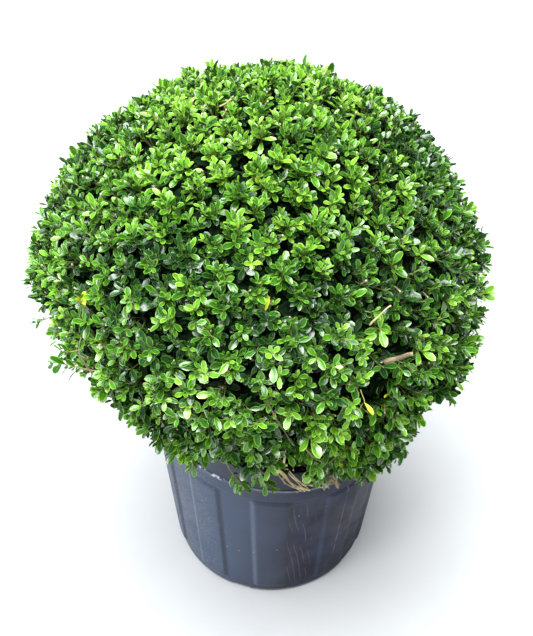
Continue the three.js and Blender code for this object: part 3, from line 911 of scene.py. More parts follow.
@dataclass(frozen=True)
class NurseryPot:
    """The ribbed pot: a tapering wall with staves, a plain band, a lip, a folded rim and drain slots."""

    height: float = 0.338
    lip_level: float = 0.300
    lip_height: float = 0.006
    lip_overhang: float = 0.002
    rim_radius: float = 0.176
    rim_lean: float = 0.001
    band_height: float = 0.027
    band_step: float = 0.003
    foot_radius: float = 0.150
    foot_chamfer: float = 0.004
    wall: float = 0.0034
    floor: float = 0.004
    squeeze: float = 0.0085
    squeeze_turn: float = np.radians(42.0)
    staves: int = 10
    stave_half: float = np.radians(9.0)
    stave_soft: float = np.radians(1.7)
    stave_relief: float = 0.003
    stave_levels: Pair = (0.018, 0.2685)
    stave_ramp: float = 0.003
    drains: int = 5
    drain_half: float = np.radians(5.6)
    drain_height: float = 0.009
    drain_inner: float = 0.138
    columns: int = 440
    foot_rows: int = 9
    row_step: float = 0.0045
    base_rings: Pair = (0.03, 0.09)
    softness: float = 0.0011
    corner_share: float = 0.45
    corner_points: int = 4
    finish: PotFinish = PotFinish()

    @property
    def band_foot(self) -> float:
        """Level of the plain band's lower edge."""
        return self.lip_level - self.band_height

    def wall_radius(self, level: Array | float) -> Array | float:
        """Outer radius of the plain wall at a level."""
        top = self.rim_radius - self.lip_overhang - self.band_step
        return lerp(self.foot_radius, top, level / self.band_foot)

    def pressed(self, points: Array) -> Array:
        """How far the wall is pressed out of round: by height, and by the cosine of twice the turn."""
        wave = np.cos(2.0 * (azimuth_of(points) - self.squeeze_turn))
        return self.squeeze * (points[..., 2] / self.lip_level) * wave

    def squeezed(self, points: Array) -> Array:
        """Points of the round pot pressed out of round, less so near its axis."""
        radius = radius_of(points)
        push = self.pressed(points) * np.minimum(1.0, radius / self.foot_radius)
        return widened(points, 1.0 + push / np.maximum(radius, 1e-6))

    def clear_radius(self, points: Array, room: float) -> Array:
        """Radius that a point beside the pot keeps outside of, to be clear of the lip by some room."""
        return self.rim_radius + room + self.pressed(points)

    def keeps_clear(self, points: Array, room: float) -> Array:
        """Whether points are outside the pot or above its rim."""
        outside = radius_of(points) > self.clear_radius(points, room)
        return outside | (points[..., 2] > self.height + room)

    def rounded(self, corners: Array) -> Array:
        """A profile with its corners rounded off.

        Each inner corner becomes a quadratic curve between two points a little way before and after it.

        Args:
            corners: Radius and level of each corner.

        Returns:
            The finer profile, from the first corner to the last.
        """
        middle = corners[1:-1]
        start, end = (
            middle + side * np.minimum(self.corner_share, self.softness / norm(side, axis=1))[:, None]
            for side in (corners[:-2] - middle, corners[2:] - middle)
        )
        t = np.linspace(0.0, 1.0, self.corner_points)[None, :, None]
        bent = (1 - t) ** 2 * start[:, None] + 2 * t * (1 - t) * middle[:, None] + t**2 * end[:, None]
        return np.concatenate([corners[:1], bent.reshape(-1, 2), corners[-1:]])

    def spaced(self, profile: Array) -> Array:
        """A profile with more points on its long straights, spaced by the row step along its length."""
        lengths = run_of(profile)
        even = np.linspace(0.0, lengths[-1], int(lengths[-1] / self.row_step))
        return points_along(profile, np.unique(np.concatenate([lengths, even])))

    def evenly(self, corners: Array) -> Array:
        """A bent line divided into the foot's rows at even steps."""
        return points_along(corners, np.linspace(0.0, run_of(corners)[-1], self.foot_rows))

    def profile(self) -> tuple[Array, slice, slice]:
        """Radius and level from the underside's middle, up the outside, and down the inside to the floor.

        Returns:
            The profile, and the rows of the outer and the inner foot that a drain slot goes through.
        """
        band = self.rim_radius - self.lip_overhang
        rim = band - self.rim_lean
        lip_foot = self.lip_level - self.lip_height
        slot_top = self.wall_radius(self.drain_height)
        step_foot = self.band_foot - self.band_step
        step_radius = self.wall_radius(self.band_foot)
        outer_foot = [
            [self.drain_inner, 0.0],
            [self.foot_radius - self.foot_chamfer, 0.0],
            [self.wall_radius(self.foot_chamfer), self.foot_chamfer],
            [slot_top, self.drain_height],
        ]
        side = [
            [slot_top, self.drain_height],
            [step_radius, step_foot],
            [band, self.band_foot],
            [band, lip_foot],
            [self.rim_radius, lip_foot + self.lip_overhang],
            [self.rim_radius, self.lip_level],
            [band, self.lip_level + self.lip_overhang],
            [rim, self.height],
            [rim - self.wall, self.height],
            [band - self.wall, self.lip_level],
            [band - self.wall, self.band_foot],
            [step_radius - self.wall, step_foot],
            [slot_top - self.wall, self.drain_height],
        ]
        inner_foot = [
            [slot_top - self.wall, self.drain_height],
            [self.wall_radius(self.floor) - self.wall, self.floor],
            [self.drain_inner, self.floor],
        ]
        underside = np.stack([self.base_rings, np.zeros(2)], axis=-1)
        foot = self.evenly(self.rounded(np.array(outer_foot)))
        walls = self.spaced(self.rounded(np.array(side)))[1:-1]
        heel = self.evenly(np.array(inner_foot))
        base = np.stack([self.base_rings[::-1], np.full(2, self.floor)], axis=-1)
        rows = np.concatenate([underside, foot, walls, heel, base])
        first = len(underside)
        last = len(rows) - len(base)
        return rows, slice(first, first + self.foot_rows), slice(last - self.foot_rows, last)

    def stave_lift(self, turn: Array, level: Array) -> Array:
        """How far the staves raise the wall: full on a stave, falling in an S at its sides and ends.

        Args:
            turn: Azimuths on the wall.
            level: Levels on the wall.

        Returns:
            The lift at each place.
        """
        pitch = TURN / self.staves
        off = np.abs((turn + pitch / 2.0) % pitch - pitch / 2.0)
        wide = 1.0 - smoothstep(self.stave_half - self.stave_soft, self.stave_half + self.stave_soft, off)
        low, high = self.stave_levels
        risen = smoothstep(low, low + self.stave_ramp, level)
        tall = risen * (1.0 - smoothstep(high - self.stave_ramp, high, level))
        return self.stave_relief * wide * tall

    def skin(self) -> Skin:
        """The pot's skin: the profile turned about Z, raised at the staves, out of round, and slotted."""
        rows, foot, heel = self.profile()
        turn = TURN * np.arange(self.columns) / self.columns - np.pi
        radius = np.broadcast_to(rows[:, :1], (len(rows), self.columns)).copy()
        level = np.broadcast_to(rows[:, 1:], radius.shape)
        outer = (np.arange(len(rows)) < int(np.argmax(rows[:, 1])))[:, None]
        lift = np.where(outer & (radius > self.drain_inner), self.stave_lift(turn[None], level), 0.0)
        radius += lift
        slope = np.gradient(lift, axis=1)
        rings = facing(turn)[None] * radius[..., None] + UP * level[..., None]
        skin = ring_skin(self.squeezed(rings), {"slope": slope / slope.max()})
        return self.slotted(skin, turn, foot, heel)

    def slotted(self, skin: Skin, turn: Array, foot: slice, heel: slice) -> Skin:
        """Cuts the drain slots: takes out the foot's faces there, outside and inside, and walls them in.

        Args:
            skin: The pot's closed skin.
            turn: Azimuth of each column.
            foot: Rows of the outer foot, from the underside up.
            heel: Rows of the inner foot, from the wall down.

        Returns:
            The skin with the slots, whose edges are bridged from the outer to the inner face.
        """
        pitch = TURN / self.drains
        middle = -np.pi / self.staves
        step = TURN / self.columns
        off = np.abs((turn + step / 2.0 - middle + pitch / 2.0) % pitch - pitch / 2.0)
        open_column = off < self.drain_half
        outer = np.arange(foot.start, foot.stop)
        inner = np.arange(heel.stop - 1, heel.start - 1, -1)
        columns = np.flatnonzero(open_column)
        ahead = (columns + 1) % self.columns
        quads = skin.corners[: 4 * np.count_nonzero(skin.sides == 4)].reshape(-1, 4)
        rest = skin.corners[quads.size :]
        row = quads[:, 0] // self.columns
        cut_rows = np.concatenate([outer[:-1], inner[1:]])
        kept = quads[~(np.isin(row, cut_rows) & open_column[quads[:, 0] % self.columns])]
        front, back = (rows[:, None] * self.columns + np.arange(self.columns) for rows in (outer, inner))
        sills = [
            np.stack([front[end, columns], front[end, ahead], back[end, ahead], back[end, columns]], axis=-1)
            for end in (0, -1)
        ]
        edges = columns[~open_column[(columns - 1) % self.columns]], ahead[~open_column[ahead]]
        jambs = [
            np.stack([front[:-1, edge], front[1:, edge], back[1:, edge], back[:-1, edge]], axis=-1)
            for edge in edges
        ]
        walls = np.concatenate([kept, *sills, *(jamb.reshape(-1, 4) for jamb in jambs)])
        corners = np.concatenate([walls.ravel(), rest])
        sides = np.concatenate([np.full(len(walls), 4), np.full(len(rest) // 3, 3)])
        return Skin(skin.points, corners, sides, skin.values)

    def build(self) -> None:
        """Sets the pot in place of its solid, its faces turned outwards all over."""
        piece = set_piece("nursery_pot", self.skin(), self.finish.material(), ["pot"])
        shell = bmesh.new()
        shell.from_mesh(piece.data)
        bmesh.ops.delete(shell, geom=[v for v in shell.verts if not v.link_faces], context="VERTS")
        bmesh.ops.recalc_face_normals(shell, faces=shell.faces)
        shell.to_mesh(piece.data)
        shell.free()


@dataclass(frozen=True)
class PottingMix:
    """The potting mix: a block that fills the pot, uneven on top, with chips of bark lying on it."""

    edge_level: float = 0.286
    edge_radius: float = 0.1675
    slope_level: float = 0.2885
    slope_radius: float = 0.102
    neck_level: float = 0.294
    neck_radius: float = 0.060
    base_level: float = 0.0043
    shoulder: float = 0.002
    eye: float = 0.004
    clearance: float = 0.0011
    columns: int = 160
    side_rows: int = 12
    rows: int = 56
    relief: float = 0.0016
    lump_span: float = 0.03
    crumb_span: float = 0.009
    crumb_share: float = 0.6
    trunk_foot: Pair = (0.036, 0.05)
    chips: int = 420
    chip_length: float = 0.011
    chip_radii: Values = (0.0005, 0.0013, 0.0012, 0.0004)
    chip_sides: int = 6
    chip_spread: float = 0.156
    chip_tilt: float = 0.0008
    chip_lift: float = 0.0004
    finish: MixFinish = MixFinish()

    def top_level(self, radius: Array) -> Array:
        """Level of the surface at a distance from the axis, before its relief."""
        stops = [0.0, self.neck_radius, self.slope_radius, self.edge_radius]
        return np.interp(radius, stops, [self.neck_level, self.neck_level, self.slope_level, self.edge_level])

    def skin(self, pot: NurseryPot) -> Skin:
        """The block's skin: rings up the inside of the pot, then inwards over the uneven surface.

        The surface dips below its level by a smooth uneven field, and is flush with it round the trunk.

        Args:
            pot: The pot that it fills.

        Returns:
            The closed skin.
        """
        turn = TURN * np.arange(self.columns) / self.columns
        inset = pot.wall + self.clearance
        side_level = np.linspace(self.base_level, self.edge_level - self.shoulder, self.side_rows)
        side_radius = pot.wall_radius(side_level) - inset
        top_radius = np.linspace(side_radius[-1] - self.shoulder / 2.0, self.eye, self.rows)
        radius = np.concatenate([side_radius, top_radius])
        level = np.concatenate([side_level, self.top_level(top_radius)])
        rings = facing(turn)[None] * radius[:, None, None] + UP * level[:, None, None]
        rough = swell(rings, self.lump_span, 71) + self.crumb_share * swell(rings, self.crumb_span, 72)
        open_top = smoothstep(*self.trunk_foot, radius) * (np.arange(len(radius)) >= len(side_level))
        rings[..., 2] += np.minimum((rough - 1.0) * self.relief, 0.0) * open_top[:, None]
        return ring_skin(pot.squeezed(rings))

    def chip_skin(self, pot: NurseryPot) -> Skin:
        """Flat chips of bark strewn over the surface, each a short six-sided splinter.

        Args:
            pot: The pot that they lie in.

        Returns:
            All the chips.
        """
        rng = np.random.default_rng(SEED + 3)
        radius = self.chip_spread * np.sqrt(rng.uniform(0.12, 1.0, self.chips))
        azimuth = rng.uniform(-np.pi, np.pi, self.chips)
        heading = rng.uniform(-np.pi, np.pi, self.chips)
        half = facing(heading) * self.chip_length * rng.uniform(0.25, 0.6, self.chips)[:, None]
        half[:, 2] = rng.normal(0.0, self.chip_tilt, self.chips)
        level = self.top_level(radius) + self.chip_lift
        middle = facing(azimuth) * radius[:, None] + UP * level[:, None]
        shares = np.linspace(-1.0, 1.0, len(self.chip_radii))
        paths = pot.squeezed(middle[:, None] + half[:, None] * shares[None, :, None])
        thick = np.array(self.chip_radii) * rng.uniform(0.7, 1.6, self.chips)[:, None]
        return tubes(paths, thick, self.chip_sides)

    def build(self, pot: NurseryPot) -> None:
        """Sets the block and its chips in place of the solid."""
        nodes = ["potting_mix"]
        set_piece("potting_mix_bed", self.skin(pot), self.finish.material(), nodes)
        set_piece("bark_chips", self.chip_skin(pot), Bark.OLD.material(), nodes)


@dataclass(frozen=True)
class Swelling:
    """A place where the leaves stand out from the outline, or back from it where the rise is negative.

    Its turn and width are in degrees, its share and height along the outline.
    """

    turn: float
    share: float
    width: float
    height: float
    rise: float

    def at(self, azimuth: Array, share: Array) -> Array:
        """Its rise at some places, which fades both ways by a bell curve."""
        around = (azimuth - np.radians(self.turn) + np.pi) % TURN - np.pi
        along = (share - self.share) / self.height
        return self.rise * np.exp(-((around / np.radians(self.width)) ** 2) - along**2)


@dataclass(frozen=True)
class ClippedOutline:
    """The clipped ball: a rounded outline from hem to top, about an axis that leans below the middle."""

    radius: float = 0.293
    equator: float = 0.570
    top: float = 0.812
    skirt_radius: float = 0.150
    skirt_level: float = 0.270
    upper_power: float = 1.81
    lower_power: float = 1.28
    axis_x: float = -0.010
    skirt_shift: float = 0.032
    samples: int = 961
    sway_left: float = 0.010
    sway_left_level: float = 0.645
    sway_left_height: float = 0.075
    sway_right: float = 0.012
    sway_right_level: float = 0.445
    sway_right_height: float = 0.060
    swellings: tuple[Swelling, ...] = (
        Swelling(44.0, 0.1, 22.0, 0.1, 0.005),
        Swelling(53.0, 0.24, 15.0, 0.05, -0.036),
        Swelling(60.0, 0.36, 14.0, 0.04, 0.008),
        Swelling(66.0, 0.43, 8.0, 0.03, -0.021),
        Swelling(-94.0, 0.535, 10.0, 0.035, -0.015),
        Swelling(-43.0, 0.24, 9.0, 0.035, -0.012),
        Swelling(-35.0, 0.185, 9.0, 0.035, 0.01),
    )

    @cached_property
    def curve(self) -> dict[str, Array]:
        """Share of the length, radius, level, tangent and share of the area along the outline, from the hem.

        On each half the radius follows the turn's cosine and the level its sine, raised to two over the
        half's power, so that a power under two makes the half more pointed than an ellipse.
        """
        turn = np.linspace(-np.pi / 2.0, np.pi / 2.0, self.samples)
        upper = turn >= 0.0
        power = np.where(upper, 2.0 / self.upper_power, 2.0 / self.lower_power)
        radius = lerp(np.where(upper, 0.0, self.skirt_radius), self.radius, np.abs(np.cos(turn)) ** power)
        level = lerp(self.equator, np.where(upper, self.top, self.skirt_level), np.abs(np.sin(turn)) ** power)
        step = np.hypot(np.diff(radius), np.diff(level))
        length = np.concatenate([[0.0], np.cumsum(step)])
        tangent = unit(np.stack([np.gradient(radius, length), np.gradient(level, length)], axis=-1))
        area = np.concatenate([[0.0], np.cumsum(step * (radius[1:] + radius[:-1]) / 2.0)])
        return {
            "share": length / length[-1],
            "radius": radius,
            "level": level,
            "out": tangent[:, 0],
            "rise": tangent[:, 1],
            "area": area / area[-1],
        }

    def read(self, key: str, share: Array) -> Array:
        """One of the curve's values at shares of the outline's length."""
        return np.interp(share, self.curve["share"], self.curve[key])

    def points(self, azimuth: Array, share: Array, depth: Array | float) -> Array:
        """Points at a depth square under the outline."""
        radius = self.read("radius", share) - self.read("rise", share) * depth
        level = self.read("level", share) + self.read("out", share) * depth
        lean = np.clip((self.equator - level) / (self.equator - self.skirt_level), 0.0, 1.0)
        shift = self.axis_x + self.skirt_shift * lean
        return facing(azimuth) * radius[..., None] + UP * level[..., None] + EAST * shift[..., None]

    def filled(self, azimuth: Array, share: Array, depth: Array | float) -> Array:
        """Points under the outline as the leaves have filled it out since it was clipped.

        The ball sways left above its middle and right below it, each fading by a bell curve, e to the
        minus square of the distance over its width. Some places swell out or lie back.

        Args:
            azimuth: Azimuths of the points.
            share: Their shares of the outline's length.
            depth: How deep under the outline they lie.

        Returns:
            The points.
        """
        points = self.points(azimuth, share, depth)
        level = points[..., 2]
        left = self.sway_left * np.exp(-(((level - self.sway_left_level) / self.sway_left_height) ** 2))
        right = self.sway_right * np.exp(-(((level - self.sway_right_level) / self.sway_right_height) ** 2))
        rise = sum(swelling.at(azimuth, share) for swelling in self.swellings)
        return points + EAST * (right - left)[..., None] + self.normals(azimuth, share) * rise[..., None]

    def normals(self, azimuth: Array, share: Array) -> Array:
        """Directions square to the outline, outwards."""
        return facing(azimuth) * self.read("rise", share)[..., None] - UP * self.read("out", share)[..., None]

    def height(self, share: Array) -> Array:
        """0 on the ball's lower half, rising to 1 on its top."""
        return smoothstep(0.45, 0.85, share)

    def dealt(self, count: int, hem: float, crowd: float = 0.0) -> tuple[Array, Array]:
        """Spots dealt over the ball: levels by areas weighted with height, and azimuths by the golden turn.

        Args:
            count: How many spots.
            hem: Share of the outline where they start.
            crowd: How much closer they stand on the top.

        Returns:
            Azimuths and shares.
        """
        share = self.curve["share"]
        area = np.cumsum(np.gradient(self.curve["area"]) * (1.0 + crowd * self.height(share)))
        spots = lerp(np.interp(hem, share, area), area[-1], (np.arange(count) + 0.5) / count)
        azimuth = (np.arange(count) * GOLDEN_TURN + np.pi) % TURN - np.pi
        return azimuth, np.interp(spots, area, share)


@dataclass(frozen=True)
class Row:
    """One row of masses round the crown: where it lies on the outline and how its boughs reach it."""

    start: float
    end: float
    count: int
    turn: float
    rise: float
    leave_at: float

    @property
    def middle(self) -> float:
        """Share of the outline where its boughs' stems point."""
        return 1.0 if self.count == 1 else (self.start + self.end) / 2.0

    def azimuths(self) -> Array:
        """Azimuths of its masses."""
        return np.radians(self.turn + 360.0 * np.arange(self.count) / self.count)

    def number_at(self, azimuth: Array) -> Array:
        """Number in the row of the mass that lies at each azimuth."""
        return np.round((azimuth - np.radians(self.turn)) / (TURN / self.count)).astype(int) % self.count


class Tier(Enum):
    """The rows from the hem up."""

    SKIRT = Row(0.095, 0.41, 6, 30.0, 8.0, 0.34)
    SHOULDER = Row(0.41, 0.79, 6, 0.0, 42.0, 0.72)
    CROWN = Row(0.79, 1.0, 1, 0.0, 90.0, 1.0)

    def masses(self) -> list[str]:
        """Names of the row's masses, in order."""
        label = self.name.lower()
        return [label] if self.value.count == 1 else [f"{label}_{i + 1}" for i in range(self.value.count)]

    @classmethod
    def nodes(cls, kind: str) -> list[str]:
        """Names of one kind of node for all the masses, from the hem up."""
        return [f"{kind}_{mass}" for tier in cls for mass in tier.masses()]


def set_greenery(name: str, skin: Skin, finish: LeafTone | Bark) -> None:
    """Puts a piece of the crown into the scene, in place of the masses of foliage."""
    set_piece(name, skin, finish.material(), Tier.nodes("foliage"))


@dataclass(frozen=True)
class Wood:
    """The trunk with its root flare, and a bough to each mass of foliage."""

    foot_level: float = 0.2943
    height: float = 0.086
    neck_radius: float = 0.021
    top_radius: float = 0.017
    flare: float = 0.013
    flare_height: float = 0.042
    lobes: int = 5
    lobe_depth: float = 0.14
    lean: Pair = (-0.008, 0.005)
    bough_radius: float = 0.0075
    leader_radius: float = 0.011
    tip_radius: float = 0.0042
    leaving_rise: float = 0.8
    bend: float = 0.35
    stem_length: float = 0.030
    stem_depth: float = 0.070
    gap: float = 0.0003
    trunk_rows: int = 72
    trunk_columns: int = 108
    bough_steps: int = 40
    bough_sides: int = 16
    bark_relief: float = 0.0011
    ridges: float = 9.0
    ridge_pull: float = 1.3
    ridge_sharpness: float = 0.6
    lump: float = 0.05
    knot: float = 0.04
    bark_age: float = 0.6

    def axis(self, share: Array) -> Array:
        """Points on the trunk's axis at shares of its height."""
        share = np.asarray(share)
        return np.stack(
            [self.lean[0] * share, self.lean[1] * share, self.foot_level + self.height * share], axis=-1
        )

    def trunk_skin(self) -> Skin:
        """The trunk's skin: its taper plus the root flare, with lobes low down and ridged bark.

        Ridges run up the trunk: their depth follows the sine of the turn, pulled about by an uneven field.
        """
        share = np.linspace(0.0, 1.0, self.trunk_rows)[:, None]
        turn = TURN * np.arange(self.trunk_columns)[None] / self.trunk_columns
        flare = np.maximum(0.0, 1.0 - self.height * share / self.flare_height)
        radius = lerp(self.neck_radius, self.top_radius, share) + self.flare * flare**2
        radius = radius * (1.0 + self.lobe_depth * flare * np.cos(self.lobes * turn))
        spoke = np.stack([np.cos(turn), np.sin(turn), np.zeros_like(turn)], axis=-1)
        rings = self.axis(share) + spoke * radius[..., None]
        pull = self.ridge_pull * swell(rings, 0.035, 81)
        ridge = np.abs(np.sin(self.ridges * turn + pull)) ** self.ridge_sharpness
        ridge = ridge + 0.5 * swell(rings, 0.008, 82)
        fade = smoothstep(0.0, 0.04, share) * (1.0 - smoothstep(0.95, 1.0, share))
        rings = rings + spoke * ((ridge - 1.0) * self.bark_relief * fade)[..., None]
        return ring_skin(rings, {"along": np.broadcast_to(share, radius.shape) * self.bark_age})

    def stems(self, outline: ClippedOutline) -> tuple[Array, Array, Array]:
        """Foot and direction of every mass's stem, and the share of the trunk where its bough leaves."""
        rows = [tier.value for tier in Tier]
        azimuth = np.concatenate([row.azimuths() for row in rows])
        courses = np.array([[row.middle, np.radians(row.rise), row.leave_at] for row in rows])
        middle, rise, leave = np.repeat(courses, [row.count for row in rows], axis=0).T
        out = facing(azimuth) * np.cos(rise)[:, None] + UP * np.sin(rise)[:, None]
        return outline.points(azimuth, middle, self.stem_depth) - self.stem_length * out, out, leave

    def bough_skin(self, outline: ClippedOutline) -> Skin:
        """All the boughs: cubic curves from the trunk to the stems, tapering, with swollen and lumpy bark."""
        root, out, leave = self.stems(outline)
        leader = leave >= 1.0
        level = out * np.array([1.0, 1.0, 0.0])
        away = np.where(leader[:, None], UP, unit(unit(level) + self.leaving_rise * UP))
        start = self.axis(leave) + UP * (self.gap * leader)[:, None]
        tip = root - self.gap * out
        pull = self.bend * norm(tip - start, axis=1, keepdims=True)
        controls = np.stack([start, start + away * pull, tip - out * pull, tip], axis=1)
        shares = even_shares(len(root), self.bough_steps)
        paths, _ = bezier(controls, shares)
        foot_radius = np.where(leader, self.leader_radius, self.bough_radius)[:, None]
        skin = tubes(paths, lerp(foot_radius, self.tip_radius, shares), self.bough_sides)
        middles = np.repeat(paths.reshape(-1, 3), self.bough_sides, axis=0)
        rough = self.lump * swell(skin.points, 0.012, 83) + self.knot * swell(skin.points, 0.005, 84)
        skin.points = skin.points + (skin.points - middles) * (rough - self.lump)[:, None]
        skin.values["along"] = skin.values["along"] * self.bark_age
        return skin

    def build(self, outline: ClippedOutline) -> None:
        """Sets the trunk and the boughs in place of their solids."""
        bark = Bark.OLD.material()
        set_piece("trunk_bark", self.trunk_skin(), bark, ["trunk"])
        set_piece("bough_bark", self.bough_skin(outline), bark, Tier.nodes("bough"))


@dataclass
class Growth:
    """One order of twigs: spots and depths on the outline, masses, tips, directions and curves."""

    azimuth: Array
    share: Array
    depth: Array
    mass: Array
    tip: Array
    way: Array
    controls: Array

    def paths(self, steps: int) -> Array:
        """Points along every twig."""
        return bezier(self.controls, even_shares(len(self.tip), steps))[0]


@dataclass(frozen=True)
class Order:
    """How one order of twigs grows: its number, the depth of its tips, its spread, and how stout it is."""

    count: int
    depth: float
    play: float
    tilt: float
    lift: float
    hem: float
    foot_radius: float
    tip_radius: float
    sides: int
    steps: int


@dataclass(frozen=True)
class LeafShape:
    """One blade: half widths at stations along it, folded along the midrib and curled at the tip."""

    length: float = 0.0158
    width: float = 0.0072
    length_play: float = 0.16
    width_play: float = 0.14
    stations: Values = (0.24, 0.62, 0.9)
    widths: Values = (0.5, 1.0, 0.68)
    fold: float = 0.16
    curl: float = 0.12
    curl_play: float = 0.1

    def skin(self, leaves: LeafFrames, rng: Luck) -> Skin:
        """Many blades as one skin.

        A blade's point is its foot plus its station times the length along it, its share of the half width
        across it, and along its face the fold times the distance from the midrib less the curl times the
        station squared.

        Args:
            leaves: Where they stand and how large they are.
            rng: Source of the play in their sizes.

        Returns:
            A skin whose points carry how far along and how far across the blade they are.
        """
        foot, along, face, size = leaves.foot, leaves.along, leaves.face, leaves.size
        count = len(foot)
        across = np.cross(face, along)
        middle = np.concatenate([[0.0], self.stations, [1.0]])
        place = np.concatenate([middle, np.repeat(self.stations, 2)])
        halves = np.stack([self.widths, np.negative(self.widths)], axis=-1)
        side = np.concatenate([np.zeros(len(middle)), halves.ravel()])
        long = self.length * size * rng.uniform(1.0 - self.length_play, 1.0 + self.length_play, count)
        wide = self.width / 2.0 * size * rng.uniform(1.0 - self.width_play, 1.0 + self.width_play, count)
        curl = (self.curl + self.curl_play * rng.uniform(-1.0, 1.0, count)) * long
        lift = self.fold * np.abs(side) * wide[:, None] * 2.0 - curl[:, None] * place**2
        points = foot[:, None] + along[:, None] * (place * long[:, None])[..., None]
        points = points + across[:, None] * (side * wide[:, None])[..., None]
        points = points + face[:, None] * lift[..., None]
        tip = len(middle) - 1
        left = tip + 1 + 2 * np.arange(len(self.stations))
        right = left + 1
        rib = 1 + np.arange(len(self.stations))
        ends = [
            [0, rib[0], left[0]],
            [0, right[0], rib[0]],
            [left[-1], rib[-1], tip],
            [rib[-1], right[-1], tip],
        ]
        spans = [
            np.stack([rib[:-1], rib[1:], left[1:], left[:-1]], axis=-1),
            np.stack([right[:-1], right[1:], rib[1:], rib[:-1]], axis=-1),
        ]
        shape = np.concatenate([np.array(ends).ravel(), np.concatenate(spans).ravel()])
        faces = np.concatenate([np.full(len(ends), 3), np.full(2 * len(spans[0]), 4)])
        starts = np.arange(count) * len(place)
        margin = (np.arange(len(place)) >= tip).astype(float)
        return Skin(
            points.reshape(-1, 3),
            (starts[:, None] + shape).ravel(),
            np.tile(faces, count),
            {"along": np.tile(place, count), "across": np.tile(margin, count)},
        )


@dataclass
class LeafFrames:
    """Leaves before they are drawn: feet, directions, faces, sizes, and the shoot and pair of each."""

    foot: Array
    along: Array
    face: Array
    size: Array
    owner: Array
    pair: Array

    def only(self, mine: Array) -> LeafFrames:
        """Some of the leaves."""
        return LeafFrames(*(values[mine] for values in vars(self).values()))

    def clear(self, pot: NurseryPot, length: float) -> LeafFrames:
        """The leaves that are clear of the pot along their whole length."""
        tip = self.foot + self.along * (length * self.size)[:, None]
        free = pot.keeps_clear(self.foot, 0.0) & pot.keeps_clear((self.foot + tip) / 2.0, 0.001)
        return self.only(free & pot.keeps_clear(tip, 0.001))


CROWN_TONES = (LeafTone.DEEP, LeafTone.MOSS, LeafTone.GRASS, LeafTone.BRIGHT, LeafTone.LIME, LeafTone.GOLD)


@dataclass(frozen=True)
class ToneRule:
    """How a shoot's tone follows its place, as painted light and shade: brighter towards the top, the left
    and the outside, in random drifts.
    """

    steps: Values = (-0.5, 0.15, 0.82, 1.5)
    drift: float = 0.27
    drift_span: float = 0.16
    luck: float = 0.8
    # Painted shade: darker the deeper a shoot's tip lies.
    depth: float = 45.0
    rise: float = 1.9
    rise_level: float = 0.82
    top: float = 0.78
    top_levels: Pair = (0.7, 0.79)
    aside: float = 0.95
    upper_levels: Pair = (0.56, 0.72)
    belly: float = 0.22
    belly_levels: Pair = (0.48, 0.58)
    right: float = 0.68
    right_side: Pair = (0.03, 0.19)
    edge: float = 0.6
    edge_side: Pair = (0.13, 0.22)
    left: float = 0.34
    left_side: Pair = (0.04, 0.2)
    # Darker down each shoot: older leaves, and painted shade.
    pairs: Values = (0.5, 0.25, -0.2, -0.6)

    def place_tone(self, tips: Array) -> Array:
        """The painted light and shade in a shoot's tone, which its place gives.

        Args:
            tips: The shoots' tips.

        Returns:
            A value for each shoot, higher where it is brighter.
        """
        x, _, z = tips.T
        high = smoothstep(*self.upper_levels, z)
        right = self.right * smoothstep(*self.right_side, x)
        low_right = right - self.edge * smoothstep(*self.edge_side, x)
        upper_sides = right + self.left * smoothstep(*self.left_side, -x)
        belly = smoothstep(*self.belly_levels, z) * (1.0 - high)
        rise = self.rise * (z - self.rise_level) + self.top * smoothstep(*self.top_levels, z) - self.aside * x
        return rise + self.belly * belly + low_right * (1.0 - high) - upper_sides * high

    def numbers(self, shoots: Growth, leaves: LeafFrames) -> Array:
        """Number of each leaf's tone, where leaves get older and darker from their shoot's tip down, the
        darkening partly painted shade.

        Args:
            shoots: The shoots.
            leaves: Their leaves.

        Returns:
            A number among the crown's tones for each leaf.
        """
        rng = np.random.default_rng(SEED + 19)
        luck = self.luck * rng.normal(size=len(shoots.tip))
        drift = self.drift * swell(shoots.tip, self.drift_span, 95) + luck
        # Painted light and shade: brighter or darker by place, darker the deeper the tip.
        youth_and_light = drift + self.place_tone(shoots.tip) - self.depth * (shoots.depth - shoots.depth.mean())
        return np.searchsorted(self.steps, youth_and_light[leaves.owner] + np.array(self.pairs)[leaves.pair])


